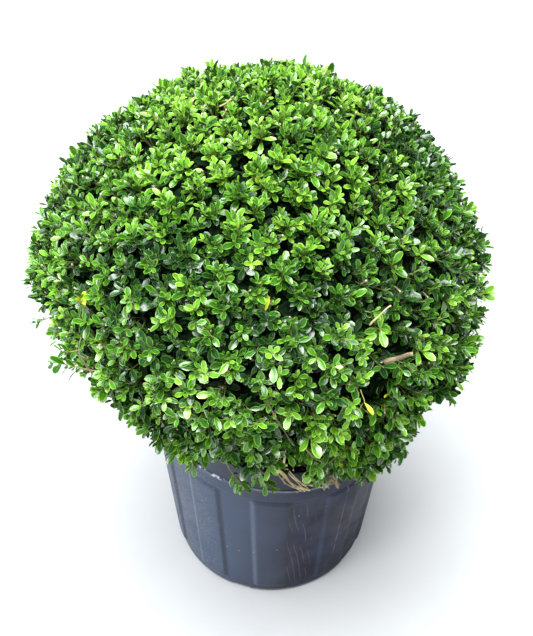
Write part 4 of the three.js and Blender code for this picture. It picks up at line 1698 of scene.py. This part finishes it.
@dataclass(frozen=True)
class Foliage:
    """The clipped crown: limbs, twigs and shoots that grow on from the boughs' stems, with their leaves."""

    outline: ClippedOutline
    wood: Wood
    pot: NurseryPot
    limb: Order = Order(96, 0.078, 0.006, 0.15, 0.1, 0.16, 0.0036, 0.0026, 7, 9)
    twig: Order = Order(760, 0.052, 0.006, 0.2, 0.15, 0.06, 0.0024, 0.0015, 5, 7)
    shoot: Order = Order(5600, 0.003, 0.02, 0.3, 1.1, 0.022, 0.0011, 0.0006, 3, 5)
    crowd: float = 0.45
    low_scale: float = 1.02
    skirt_scale: float = 1.2
    top_scale: float = 0.87
    low_lift: float = 0.95
    low_reach: float = 0.006
    top_spread: float = 0.78
    top_play: float = 0.5
    top_depth: float = 0.005
    bend: float = 0.35
    gather: float = 0.3
    tuft: float = 0.024
    dome: float = 0.012
    splay: float = 0.5
    lump: float = 0.004
    hollow_span: float = 0.042
    hollow_below: float = -0.78
    top_fill: float = 0.3
    hem: float = 0.052
    hem_front: float = 0.225
    front_turn: float = np.radians(-7.2)
    front_width: float = np.radians(32.5)
    hem_droop: float = 0.035
    droop_turn: float = np.radians(46.0)
    droop_width: float = np.radians(17.0)
    rim_room: float = 0.0015
    hang_room: float = 0.007
    pairs_at: Values = (0.0006, 0.0052, 0.0118, 0.0195)
    pair_spreads: Values = (25.0, 44.0, 58.0, 68.0)
    pair_sizes: Values = (0.62, 0.92, 1.02, 0.98)
    tone: ToneRule = ToneRule()
    old_shares: Values = (0.16, 0.36)
    old_size: float = 1.15
    old_spread: float = 72.0
    core_shares: Values = (0.1, 0.3, 0.48, 0.64, 0.8, 0.95)
    core_size: float = 2.2
    stubs: int = 230
    stub_length: float = 0.011
    stub_radius: float = 0.0009
    stub_depths: Pair = (0.006, 0.02)
    stub_hem: float = 0.17
    hollows: tuple[Triple, ...] = (
        (25.5, 0.462, 0.025),
        (29.0, 0.465, 0.019),
        (23.0, 0.44, 0.017),
        (4.0, 0.35, 0.017),
        (32.0, 0.543, 0.009),
        (-7.5, 0.52, 0.012),
        (10.0, 0.615, 0.01),
        (-22.0, 0.6, 0.01),
        (4.5, 0.645, 0.008),
        (26.0, 0.437, 0.02),
        (35.5, 0.518, 0.011),
        (46.5, 0.655, 0.012),
        (46.5, 0.61, 0.013),
        (39.5, 0.8, 0.01),
        (7.3, 0.732, 0.01),
        (-17.2, 0.715, 0.011),
    )
    odd_leaves: float = 0.0008
    spread_play: float = 14.0
    missing: float = 0.06
    face_up: float = 0.5
    face_sky: float = 1.1
    face_play: float = 0.12
    vigour: float = 0.17
    vigour_limits: Pair = (0.7, 1.42)
    size_play: Pair = (0.8, 1.12)
    leaf: LeafShape = LeafShape()
    old_leaf: LeafShape = LeafShape(stations=(0.35, 0.8), widths=(0.85, 0.85))

    def mass_of(self, azimuth: Array, share: Array) -> Array:
        """Number of the mass that each spot belongs to, counted over the rows from the hem up."""
        mass = Tier.SKIRT.value.number_at(azimuth)
        first = 0
        for tier in Tier:
            row = tier.value
            mass = np.where(share >= row.start, first + row.number_at(azimuth), mass)
            first += row.count
        return mass

    def nearest(self, spots: Array, mass: Array, parents: Growth, homes: Array) -> Array:
        """Number of the nearest parent of the same mass for each spot."""
        found = np.zeros(len(spots), dtype=int)
        for number in np.unique(mass):
            mine = np.flatnonzero(mass == number)
            theirs = np.flatnonzero(parents.mass == number)
            gaps = norm(spots[mine][:, None] - homes[theirs][None], axis=-1)
            found[mine] = theirs[np.argmin(gaps, axis=1)]
        return found

    def curves(self, parents: Growth, parent: Array, tip: Array, way: Array) -> Array:
        """Controls of curves that leave their parents' tips on the parents' course and end on their own."""
        foot = parents.tip[parent]
        pull = self.bend * norm(tip - foot, axis=1, keepdims=True)
        return np.stack([foot, foot + parents.way[parent] * pull, tip - way * pull, tip], axis=1)

    def stems(self) -> Growth:
        """The boughs' stems, which all else grows from."""
        root, out, _ = self.wood.stems(self.outline)
        count = len(root)
        blank = np.zeros(count)
        return Growth(blank, blank, blank, np.arange(count), root, out, np.zeros((count, 4, 3)))

    def grown(self, parents: Growth, order: Order, seed: int) -> Growth:
        """One order of twigs, each from the nearest parent of its mass to its own spot under the outline.

        Args:
            parents: The order that it grows from.
            order: Its numbers.
            seed: Source of its unevenness.

        Returns:
            The new order.
        """
        rng = np.random.default_rng(seed)
        azimuth, share = self.outline.dealt(order.count, order.hem)
        azimuth = azimuth + rng.normal(0.0, 0.4, order.count) / np.sqrt(order.count)
        mass = self.mass_of(azimuth, share)
        depth = order.depth + order.play * rng.uniform(-1.0, 1.0, order.count)
        tip = self.outline.filled(azimuth, share, depth)
        stray = order.tilt * rng.normal(size=tip.shape) + order.lift * UP
        way = unit(self.outline.normals(azimuth, share) + stray)
        parent = self.nearest(tip, mass, parents, parents.tip)
        return Growth(azimuth, share, depth, mass, tip, way, self.curves(parents, parent, tip, way))

    def hem_at(self, azimuth: Array) -> Array:
        """Share of the outline where the leaves stop: higher at the front, over the rim, lower beside it."""
        front = np.exp(-(((azimuth - self.front_turn) / self.front_width) ** 4))
        droop = np.exp(-(((azimuth - self.droop_turn) / self.droop_width) ** 2))
        return self.hem + self.hem_front * front - self.hem_droop * droop

    def kept(self, azimuth: Array, share: Array, spot: Array, rng: Luck) -> Array:
        """Which shoots there are: none under the hem, in gaps of a smooth uneven field, or in hollows.

        Args:
            azimuth: Azimuths of the shoots' spots.
            share: Their shares of the outline.
            spot: Their places on the filled outline.
            rng: Source of the unevenness.

        Returns:
            Whether each shoot is kept.
        """
        keep = share > self.hem_at(azimuth) + rng.normal(0.0, 0.008, len(share))
        gaps = swell(spot, self.hollow_span, 97) + 0.25 * rng.normal(size=len(share))
        keep &= gaps + self.top_fill * self.outline.height(share) > self.hollow_below
        for turn, level, size in self.hollows:
            middle = self.outline.filled(np.radians([turn]), np.array([level]), np.zeros(1))
            keep &= norm(spot - middle, axis=1) > size * rng.uniform(0.7, 1.1, len(share))
        return keep

    def shoots(self, twigs: Growth) -> Growth:
        """The last order: leafy shoots, in a domed tuft over each twig and splayed from its middle.

        Args:
            twigs: The order that they grow from.

        Returns:
            The shoots.
        """
        order = self.shoot
        outline = self.outline
        rng = np.random.default_rng(SEED + 13)
        azimuth, share = outline.dealt(order.count, order.hem, self.crowd)
        azimuth = azimuth + rng.normal(0.0, 0.5, order.count) / np.sqrt(order.count)
        share = np.clip(share + rng.normal(0.0, 0.004, order.count), 0.0, 1.0)
        spot = outline.filled(azimuth, share, np.zeros(order.count))
        keep = self.kept(azimuth, share, spot, rng)
        azimuth, share, spot = azimuth[keep], share[keep], spot[keep]
        mass = self.mass_of(azimuth, share)
        high = outline.height(share)
        homes = outline.filled(twigs.azimuth, twigs.share, np.zeros(len(twigs.share)))
        parent = self.nearest(spot, mass, twigs, homes)
        off = spot - homes[parent]
        far = norm(off, axis=1) / self.tuft
        normal = outline.normals(azimuth, share)
        depth = order.play * rng.uniform(0.0, 1.0, len(share)) ** 1.6 + self.dome * np.minimum(far, 1.4) ** 2
        depth = order.depth + depth * lerp(1.0, self.top_play, high) + self.lump * swell(spot, 0.11, 91)
        low = 1.0 - smoothstep(0.1, 0.5, share)
        depth = depth + self.top_depth * high - self.low_reach * low * smoothstep(0.08, 0.2, share)
        tip = spot - self.gather * off - normal * np.maximum(depth, -0.002)[:, None]
        tip = self.pushed(tip, self.hang_room)
        lift = order.lift * UP * rng.uniform(0.2, 1.8, (len(tip), 1)) * lerp(1.0, self.low_lift, low)[:, None]
        stray = order.tilt * rng.normal(size=tip.shape) + lift
        way = unit(normal + self.splay * off / self.tuft + stray)
        return Growth(azimuth, share, depth, mass, tip, way, self.curves(twigs, parent, tip, way))

    def pushed(self, paths: Array, room: float) -> Array:
        """Paths with the points that would lie in the pot moved clear of its wall by some room."""
        clear = self.pot.keeps_clear(paths, room)
        radius = np.maximum(radius_of(paths), 1e-6)
        return widened(paths, np.where(clear, 1.0, self.pot.clear_radius(paths, room) / radius))

    def twig_skin(self, growth: Growth, order: Order) -> Skin:
        """One order's twigs as tapering tubes."""
        paths = self.pushed(growth.paths(order.steps), self.rim_room)
        radii = lerp(order.foot_radius, order.tip_radius, np.linspace(0.0, 1.0, order.steps))
        return tubes(paths, np.broadcast_to(radii, paths.shape[:2]), order.sides)

    def leaf_frames(
        self, controls: Array, shares: Array, spreads: Array, sizes: Array, seed: int
    ) -> LeafFrames:
        """Frames of the leaves on shoots.

        Leaves stand in opposite pairs, each pair square to the last. A leaf leans out from the shoot by its
        pair's spread, its upper side turned to the shoot's tip and on to the sky, the more so where the shoot
        hangs.

        Args:
            controls: Controls of the shoots' curves.
            shares: Where the pairs stand along each shoot, shaped (shoots, pairs).
            spreads: Degrees between the shoot and each pair's leaves, for all shoots alike or for each.
            sizes: Scale of each pair's leaves, likewise.
            seed: Source of the play.

        Returns:
            The frames of all leaves.
        """
        rng = np.random.default_rng(seed)
        count, pairs = shares.shape
        foot, way = bezier(controls, shares)
        side = unit(np.cross(way, unit(rng.normal(size=(count, 1, 3)))))
        across = np.cross(way, side)
        crossed = np.where((np.arange(pairs) % 2 == 0)[None, :, None], side, across)
        play = self.spread_play * rng.normal(size=(count, pairs, 2))
        lean = np.radians(np.broadcast_to(spreads, shares.shape)[..., None] + play)
        signed = np.stack([crossed, -crossed], axis=2)
        axis = way[:, :, None]
        along = axis * np.cos(lean)[..., None] + signed * np.sin(lean)[..., None]
        face = axis * np.sin(lean)[..., None] - signed * np.cos(lean)[..., None]
        face = np.where(face[..., 2:] < 0.0, -face, face)
        hanging = 1.0 - smoothstep(-0.2, 0.7, axis[..., 2:])
        face = face + lerp(self.face_up, self.face_sky, hanging) * (UP - along * along[..., 2:])
        face = unit(face + self.face_play * rng.normal(size=face.shape))
        face = unit(face - along * (face * along).sum(-1, keepdims=True))
        vigour = np.clip(np.exp(self.vigour * rng.normal(size=(count, 1, 1))), *self.vigour_limits)
        luck = rng.uniform(*self.size_play, lean.shape)
        size = np.broadcast_to(sizes, shares.shape)[..., None] * vigour * luck
        owner, pair, _ = np.indices(lean.shape).reshape(3, -1)
        feet = np.broadcast_to(foot[:, :, None], along.shape).reshape(-1, 3)
        return LeafFrames(feet, along.reshape(-1, 3), face.reshape(-1, 3), size.ravel(), owner, pair)

    def young_frames(self, shoots: Growth, seed: int) -> LeafFrames:
        """Frames of the leaves near the tips of shoots, smaller and more upright on the often clipped top.

        Args:
            shoots: The shoots.
            seed: Source of the play.

        Returns:
            The frames.
        """
        high = self.outline.height(shoots.share)
        controls = shoots.controls
        chord = norm(controls[:, 3] - controls[:, 0], axis=1)[:, None]
        skirt = lerp(self.skirt_scale, 1.0, smoothstep(0.2, 0.46, shoots.share))
        scale = (lerp(self.low_scale, self.top_scale, high) * skirt)[:, None]
        shares = np.clip(1.0 - np.array(self.pairs_at) * scale / (1.12 * chord), 0.12, 1.0)
        spreads = np.array(self.pair_spreads) * lerp(1.0, self.top_spread, high)[:, None]
        return self.leaf_frames(controls, shares, spreads, np.array(self.pair_sizes) * scale, seed)

    def old_frames(self, controls: Array, places: Sequence[float], size: float, seed: int) -> LeafFrames:
        """Frames of old leaves further down, which shade the inside."""
        pairs = len(places)
        shares = np.broadcast_to(np.array(places), (len(controls), pairs))
        spreads = np.full(pairs, self.old_spread)
        return self.leaf_frames(controls, shares, spreads, np.full(pairs, size), seed)

    def stub_skin(self) -> Skin:
        """Bare ends of clipped twigs, just under the leaves, pale where they are cut."""
        rng = np.random.default_rng(SEED + 31)
        azimuth, share = self.outline.dealt(self.stubs, self.stub_hem)
        azimuth = azimuth + rng.normal(0.0, 0.05, self.stubs)
        tip = self.outline.filled(azimuth, share, rng.uniform(*self.stub_depths, self.stubs))
        way = unit(self.outline.normals(azimuth, share) + 0.4 * UP + 0.45 * rng.normal(size=tip.shape))
        shares = np.linspace(-1.0, 0.0, 4)
        paths = tip[:, None] + way[:, None] * (self.stub_length * shares)[None, :, None]
        radii = self.stub_radius * rng.uniform(0.7, 1.3, (self.stubs, 1))
        return tubes(paths, np.broadcast_to(radii, paths.shape[:2]), 5)

    def build(self) -> None:
        """Grows the crown and sets its twigs and leaves in place of the masses."""
        limbs = self.grown(self.stems(), self.limb, SEED + 11)
        twigs = self.grown(limbs, self.twig, SEED + 12)
        shoots = self.shoots(twigs)
        woody = Skin.joined([self.twig_skin(limbs, self.limb), self.twig_skin(twigs, self.twig)])
        set_greenery("limbs_and_twigs", woody, Bark.TWIG)
        set_greenery("leafy_shoots", self.twig_skin(shoots, self.shoot), Bark.SHOOT)
        set_greenery("clipped_ends", self.stub_skin(), Bark.CLIPPED)
        rng = np.random.default_rng(SEED + 23)
        reach = self.leaf.length
        old = self.old_frames(shoots.controls, self.old_shares, self.old_size, SEED + 29)
        core = self.old_frames(twigs.controls, self.core_shares, self.core_size, SEED + 30)
        # Old and core leaves take the near-black shade tone, painted shade for the crown's inside.
        set_greenery("leaves_shade", self.old_leaf.skin(old.clear(self.pot, reach), rng), LeafTone.SHADE)
        set_greenery("leaves_core", self.old_leaf.skin(core.clear(self.pot, reach), rng), LeafTone.SHADE)
        young = self.young_frames(shoots, SEED + 17).clear(self.pot, reach)
        young = young.only(rng.uniform(size=len(young.size)) > self.missing)
        tone = self.tone.numbers(shoots, young)
        tone[rng.uniform(size=len(tone)) < self.odd_leaves] = CROWN_TONES.index(LeafTone.GOLD)
        for number, kind in enumerate(CROWN_TONES):
            set_greenery(f"leaves_{kind.label}", self.leaf.skin(young.only(tone == number), rng), kind)


@dataclass(frozen=True)
class Stray:
    """One twig out of line: azimuths in degrees, shares of the outline and depths in millimetres along it."""

    places: tuple[Triple, ...]
    radius: float
    pairs: int = 0
    scale: float = 1.0

    def controls(self, outline: ClippedOutline) -> Array:
        """Controls of the curve through its first, middle and last place."""
        azimuth, share, depth = np.array(self.places).T
        points = outline.points(np.radians(azimuth), share, depth / 1000.0)
        first, last = points[0], points[-1]
        middle = points[1] if len(points) > 2 else (first + last) / 2.0
        bow = 4.0 / 3.0 * (middle - (first + last) / 2.0)
        return np.stack([first, lerp(first, last, 1.0 / 3.0) + bow, lerp(first, last, 2.0 / 3.0) + bow, last])


@dataclass(frozen=True)
class Strays:
    """Twigs that the shears missed: bare and dry ones, a cut stub, and sprigs that hang or stick out."""

    foliage: Foliage
    bare: tuple[Stray, ...] = (
        Stray(((29.6, 0.524, 14), (31.6, 0.53, 3), (35, 0.531, -6)), 0.0031),
        Stray(((37, 0.478, 12), (34.2, 0.503, 4), (33, 0.519, 0)), 0.0008),
        Stray(((35, 0.495, 5), (37.8, 0.503, -2)), 0.0007),
        Stray(((-37, 0.44, 16), (-43.5, 0.476, -2), (-48.5, 0.5, 10)), 0.0012),
        Stray(((7.5, 0.388, 9), (10, 0.359, 1), (12.5, 0.327, -2)), 0.0012),
        Stray(((11.8, 0.293, -2), (14.8, 0.315, -2), (17.8, 0.326, 4)), 0.0007),
        Stray(((18.5, 0.252, 0), (23.5, 0.18, -4), (28.8, 0.112, -6)), 0.0007),
        Stray(((0.8, 0.498, 16), (3, 0.462, 11), (6.2, 0.372, 10)), 0.0009),
    )
    dry: tuple[Stray, ...] = (
        Stray(((-4.5, 0.156, 28), (3, 0.172, 27)), 0.0022),
        Stray(((-3, 0.16, 28), (2.8, 0.205, 36)), 0.0009),
        Stray(((8, 0.42, 70), (4.6, 0.27, 48), (1.6, 0.168, 28)), 0.0021),
        Stray(((-2.6, 0.16, 27.5), (0.3, 0.116, 12), (6.6, 0.086, 3)), 0.0007),
        Stray(((-0.6, 0.164, 27.5), (2.4, 0.112, 12), (8.2, 0.082, 2)), 0.0009),
        Stray(((0.2, 0.166, 27.5), (5.9, 0.113, 11), (8.6, 0.07, -1)), 0.0008),
        Stray(((6, 0.095, 7), (10.5, 0.077, 0)), 0.0019),
        Stray(((7.7, 0.099, 8), (16.6, 0.076, 0)), 0.001),
        Stray(((-0.2, 0.165, 27.5), (3.4, 0.104, 10), (6.8, 0.078, 1)), 0.001),
        Stray(((0.5, 0.166, 27.5), (4.4, 0.095, 8), (10.6, 0.076, 0)), 0.0007),
        Stray(((7.4, 0.104, 9), (12.4, 0.088, 4), (16.9, 0.079, 1)), 0.0012),
        Stray(((27.4, 0.592, 11), (29.6, 0.606, 0), (32.6, 0.611, -3)), 0.0011),
        Stray(((-1.4, 0.163, 27.5), (1.6, 0.12, 15), (7.2, 0.092, 5)), 0.0012),
        Stray(((0.9, 0.167, 27.5), (5.4, 0.122, 14), (11.8, 0.088, 3)), 0.0009),
        Stray(((1.4, 0.168, 27.5), (7, 0.112, 11), (10.2, 0.078, 1)), 0.001),
        Stray(((-83, 0.93, 8), (-76, 0.95, -1)), 0.001),
        Stray(((-92, 0.94, 8), (-88, 0.955, 0)), 0.0009),
        Stray(((-94, 0.885, 8), (-91, 0.893, -2)), 0.0012),
        Stray(((-81, 0.903, 8), (-79, 0.91, -2)), 0.0011),
        Stray(((-61, 0.927, 8), (-58, 0.934, -1)), 0.001),
        Stray(((10, 0.988, 8), (16, 0.979, -1)), 0.0012),
    )
    leafy: tuple[Stray, ...] = (
        Stray(((-41, 0.466, 8), (-46.5, 0.464, -7), (-54.5, 0.44, -18)), 0.0009, 9, 1.1),
        Stray(((-46, 0.492, 6), (-49, 0.481, -6), (-51.5, 0.476, -10)), 0.0008, 5, 1.05),
        Stray(((-66, 0.45, 14), (-64, 0.462, -10)), 0.0006, 3),
        Stray(((34, 0.17, 8), (33, 0.12, -4), (31, 0.08, -8)), 0.0009, 6),
        Stray(((42, 0.19, 8), (41, 0.14, -5), (39.5, 0.1, -9)), 0.0009, 6),
        Stray(((50, 0.18, 8), (48, 0.15, -6), (46, 0.12, -10)), 0.0009, 5),
    )
    hanging: tuple[Stray, ...] = (
        Stray(((-18.6, 0.18, 20), (-16.2, 0.136, 6), (-14.3, 0.114, -1)), 0.0008, 7),
        Stray(((-6, 0.185, 28), (-7.5, 0.13, 12), (-4, 0.104, 4)), 0.0008, 9),
        Stray(((-8.9, 0.21, 30), (-9.3, 0.15, 14), (-9.5, 0.132, 9)), 0.0008, 9),
        Stray(((-28, 0.23, 16), (-29.5, 0.19, 2), (-30.5, 0.172, -3)), 0.0007, 8),
        Stray(((18, 0.2, 24), (16, 0.15, 12), (13, 0.125, 6)), 0.0008, 6),
    )
    carriers: tuple[Stray, ...] = (
        Stray(((-24, 0.38, 62), (-21, 0.28, 40), (-18.6, 0.18, 20)), 0.0013),
        Stray(((-8, 0.4, 74), (-7.5, 0.29, 50), (-6, 0.185, 28)), 0.0013),
        Stray(((-14, 0.42, 70), (-11, 0.31, 50), (-8.9, 0.21, 30)), 0.0013),
        Stray(((-31, 0.38, 52), (-29, 0.3, 32), (-28, 0.23, 16)), 0.0012),
        Stray(((15, 0.4, 70), (17, 0.3, 46), (18, 0.2, 24)), 0.0013),
    )
    yellowed: tuple[Stray, ...] = (
        Stray(((22.1, 0.497, 6), (21.8, 0.484, -4)), 0.0006, 1, 2.2),
        Stray(((-47, 0.558, 6), (-48, 0.569, -4)), 0.0006, 2, 1.5),
    )
    litter_from: Triple = (12.0, 0.11, 13.0)
    litter_to: Triple = (23.0, 0.1, 7.0)
    litter_play: Triple = (1.0, 0.006, 2.0)
    litter_sizes: Pair = (0.6, 1.0)
    litter: int = 24
    pair_step: float = 0.0068
    pair_numbers: Triple = (0.0, 1.0, 3.0)
    pair_spreads: Triple = (26.0, 42.0, 54.0)
    pair_sizes: Triple = (0.55, 0.78, 0.98)
    taper: float = 0.7
    crook: float = 0.0008
    crook_span: float = 0.028
    knot: float = 0.1
    knot_span: float = 0.012
    steps: int = 16
    sides: int = 7

    def tube_skin(self, strays: Sequence[Stray]) -> Skin:
        """Crooked and knotty tubes along some strays, each tapering to a share of its radius.

        Args:
            strays: The strays.

        Returns:
            The tubes in one skin.
        """
        controls = np.stack([stray.controls(self.foliage.outline) for stray in strays])
        shares = even_shares(len(strays), self.steps)
        paths = bezier(controls, shares)[0]
        crook = np.stack([swell(paths, self.crook_span, 101 + number) for number in range(3)], axis=-1)
        paths = self.foliage.pushed(paths + self.crook * crook, self.foliage.rim_room)
        knots = 1.0 + self.knot * swell(paths, self.knot_span, 98)
        radii = np.array([stray.radius for stray in strays])[:, None] * lerp(1.0, self.taper, shares) * knots
        return tubes(paths, radii, self.sides)

    def leaf_skin(self, strays: Sequence[Stray], rng: Luck, seed: int) -> Skin:
        """Leaves of some leafy strays, in pairs that get smaller towards the tip.

        Args:
            strays: The strays.
            rng: Source of the leaves' play.
            seed: Source of the pairs' play.

        Returns:
            The leaves in one skin.
        """
        skins = []
        for number, stray in enumerate(strays):
            controls = stray.controls(self.foliage.outline)[None]
            length = norm(controls[0, 3] - controls[0, 0])
            pairs = np.arange(stray.pairs)
            shares = np.clip(1.0 - self.pair_step * pairs[None] / length, 0.1, 1.0)
            spreads = np.interp(pairs, self.pair_numbers, self.pair_spreads)
            sizes = stray.scale * np.interp(pairs, self.pair_numbers, self.pair_sizes)
            frames = self.foliage.leaf_frames(controls, shares, spreads, sizes, seed + number)
            skins.append(self.foliage.leaf.skin(frames, rng))
        return Skin.joined(skins)

    def litter_frames(self) -> LeafFrames:
        """Frames of dead leaves caught at the rim, lying every way."""
        rng = np.random.default_rng(SEED + 37)
        share = rng.uniform(0.0, 1.0, (self.litter, 1))
        place = lerp(np.array(self.litter_from), np.array(self.litter_to), share)
        place = place + rng.normal(size=place.shape) * np.array(self.litter_play)
        foot = self.foliage.outline.points(np.radians(place[:, 0]), place[:, 1], place[:, 2] / 1000.0)
        along = unit(rng.normal(size=foot.shape))
        face = unit(np.cross(along, rng.normal(size=foot.shape)))
        number = np.arange(self.litter)
        return LeafFrames(foot, along, face, rng.uniform(*self.litter_sizes, self.litter), number, number)

    def build(self) -> None:
        """Sets the strays beside the crown's own twigs and leaves."""
        rng = np.random.default_rng(SEED + 39)
        set_greenery("bare_strays", self.tube_skin(self.bare), Bark.STUB)
        set_greenery("dry_strays", self.tube_skin(self.dry), Bark.CUT)
        stems = self.leafy + self.hanging + self.carriers + self.yellowed
        set_greenery("sprig_stems", self.tube_skin(stems), Bark.SHOOT)
        set_greenery("sprig_leaves", self.leaf_skin(self.leafy, rng, SEED + 40), LeafTone.MOSS)
        set_greenery("hanging_leaves", self.leaf_skin(self.hanging, rng, SEED + 50), LeafTone.GRASS)
        set_greenery("yellowed_leaves", self.leaf_skin(self.yellowed, rng, SEED + 60), LeafTone.GOLD)
        leaf = self.foliage.leaf
        litter = self.litter_frames().clear(self.foliage.pot, leaf.length)
        set_greenery("leaf_litter", leaf.skin(litter, rng), LeafTone.DRY)


class LampKind(Enum):
    """Kinds of light: a round panel near by, and a bright ceiling so far off that it lights all alike."""

    PANEL = "AREA"
    CEILING = "SUN"


@dataclass(frozen=True)
class Lamp:
    """One soft light: where it hangs, its size in metres or as an angle, its power and its colour."""

    name: str
    kind: LampKind
    place: Triple
    size: float
    power: float
    colour: Colour

    def hang(self, aim: Triple) -> None:
        """Hangs the light, aimed at a point."""
        light = bpy.data.lights.new(self.name, self.kind.value)
        if self.kind is LampKind.PANEL:
            light.shape = "DISK"
            light.size = self.size
        else:
            light.angle = self.size
        light.energy = self.power
        light.color = self.colour
        lamp = placed(self.name, light)
        lamp.location = self.place
        way = np.array(aim) - np.array(self.place)
        level = np.hypot(way[0], way[1])
        lamp.rotation_euler = (np.arctan2(level, -way[2]), 0.0, np.arctan2(-way[0], way[1]))


@dataclass(frozen=True)
class Studio:
    """The view: a camera in front and above, a pale floor, and soft light from above and the upper left."""

    camera_place: Triple = (-0.0066, -1.00821, 1.44884)
    camera_pitch: float = np.radians(45.44)
    lens: float = 58.47
    sensor: float = 36.0
    aim: Triple = (0.0, 0.0, 0.5)
    floor_half: float = 12.0
    floor_drop: float = 0.0005
    backdrop: Colour = (1.0, 1.0, 1.0)
    sky: Colour = (0.78, 0.89, 1.0)
    sky_strength: float = 0.18
    lamps: tuple[Lamp, ...] = (
        Lamp("overhead", LampKind.CEILING, (-0.25, -0.1, 2.9), np.radians(60.0), 9.8, (0.94, 0.975, 1.0)),
        Lamp("upper_left", LampKind.PANEL, (-1.7, -1.5, 1.8), 1.0, 22.0, (0.96, 0.98, 1.0)),
        Lamp("low_front", LampKind.PANEL, (-0.6, -2.3, 0.7), 1.4, 3.8, (0.93, 0.97, 1.0)),
    )
    finish: FloorFinish = FloorFinish()

    def camera(self) -> None:
        """Sets the photograph's camera."""
        view = bpy.data.cameras.new("camera")
        view.lens = self.lens
        view.sensor_width = self.sensor
        camera = placed("camera", view)
        camera.location = self.camera_place
        camera.rotation_euler = (self.camera_pitch, 0.0, 0.0)
        bpy.context.scene.camera = camera

    def floor(self) -> None:
        """Lays the floor just under the pot."""
        half = self.floor_half
        corners = np.array([[-half, -half], [half, -half], [half, half], [-half, half]])
        points = np.concatenate([corners, np.full((4, 1), -self.floor_drop)], axis=1)
        mesh = Skin(points, np.arange(4), np.array([4])).mesh("floor")
        mesh.materials.append(self.finish.material())
        floor = placed("floor", mesh)

    def world(self) -> None:
        """Fills the shade with a pale sky, which the camera itself sees as a white backdrop."""
        world = bpy.data.worlds.new("studio")
        world.use_nodes = True
        net = Net(world.node_tree)
        seen = net.node("ShaderNodeLightPath").outputs["Is Camera Ray"]
        strength = {"Value": seen, "To Min": self.sky_strength, "To Max": 1.0}
        air = {
            "Color": net.mix(seen, self.sky, self.backdrop),
            "Strength": net.node("ShaderNodeMapRange", strength).outputs[0],
        }
        net.fill(world.node_tree.nodes["Background"], air)
        bpy.context.scene.world = world

    def build(self) -> None:
        """Sets camera, floor, lights and tone curve."""
        self.camera()
        self.floor()
        self.world()
        for lamp in self.lamps:
            lamp.hang(self.aim)
        bpy.context.scene.view_settings.view_transform = "Standard"
        bpy.context.scene.view_settings.look = "None"


def main() -> None:
    """Builds the plant on the frame, sets the studio, and notes the sizes."""
    logging.basicConfig(level=logging.INFO, format="%(message)s")
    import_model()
    pot = NurseryPot()
    outline = ClippedOutline()
    wood = Wood()
    foliage = Foliage(outline, wood, pot)
    pot.build()
    PottingMix().build(pot)
    wood.build(outline)
    foliage.build()
    Strays(foliage).build()
    Studio().build()


if __name__ == "__main__":
    main()
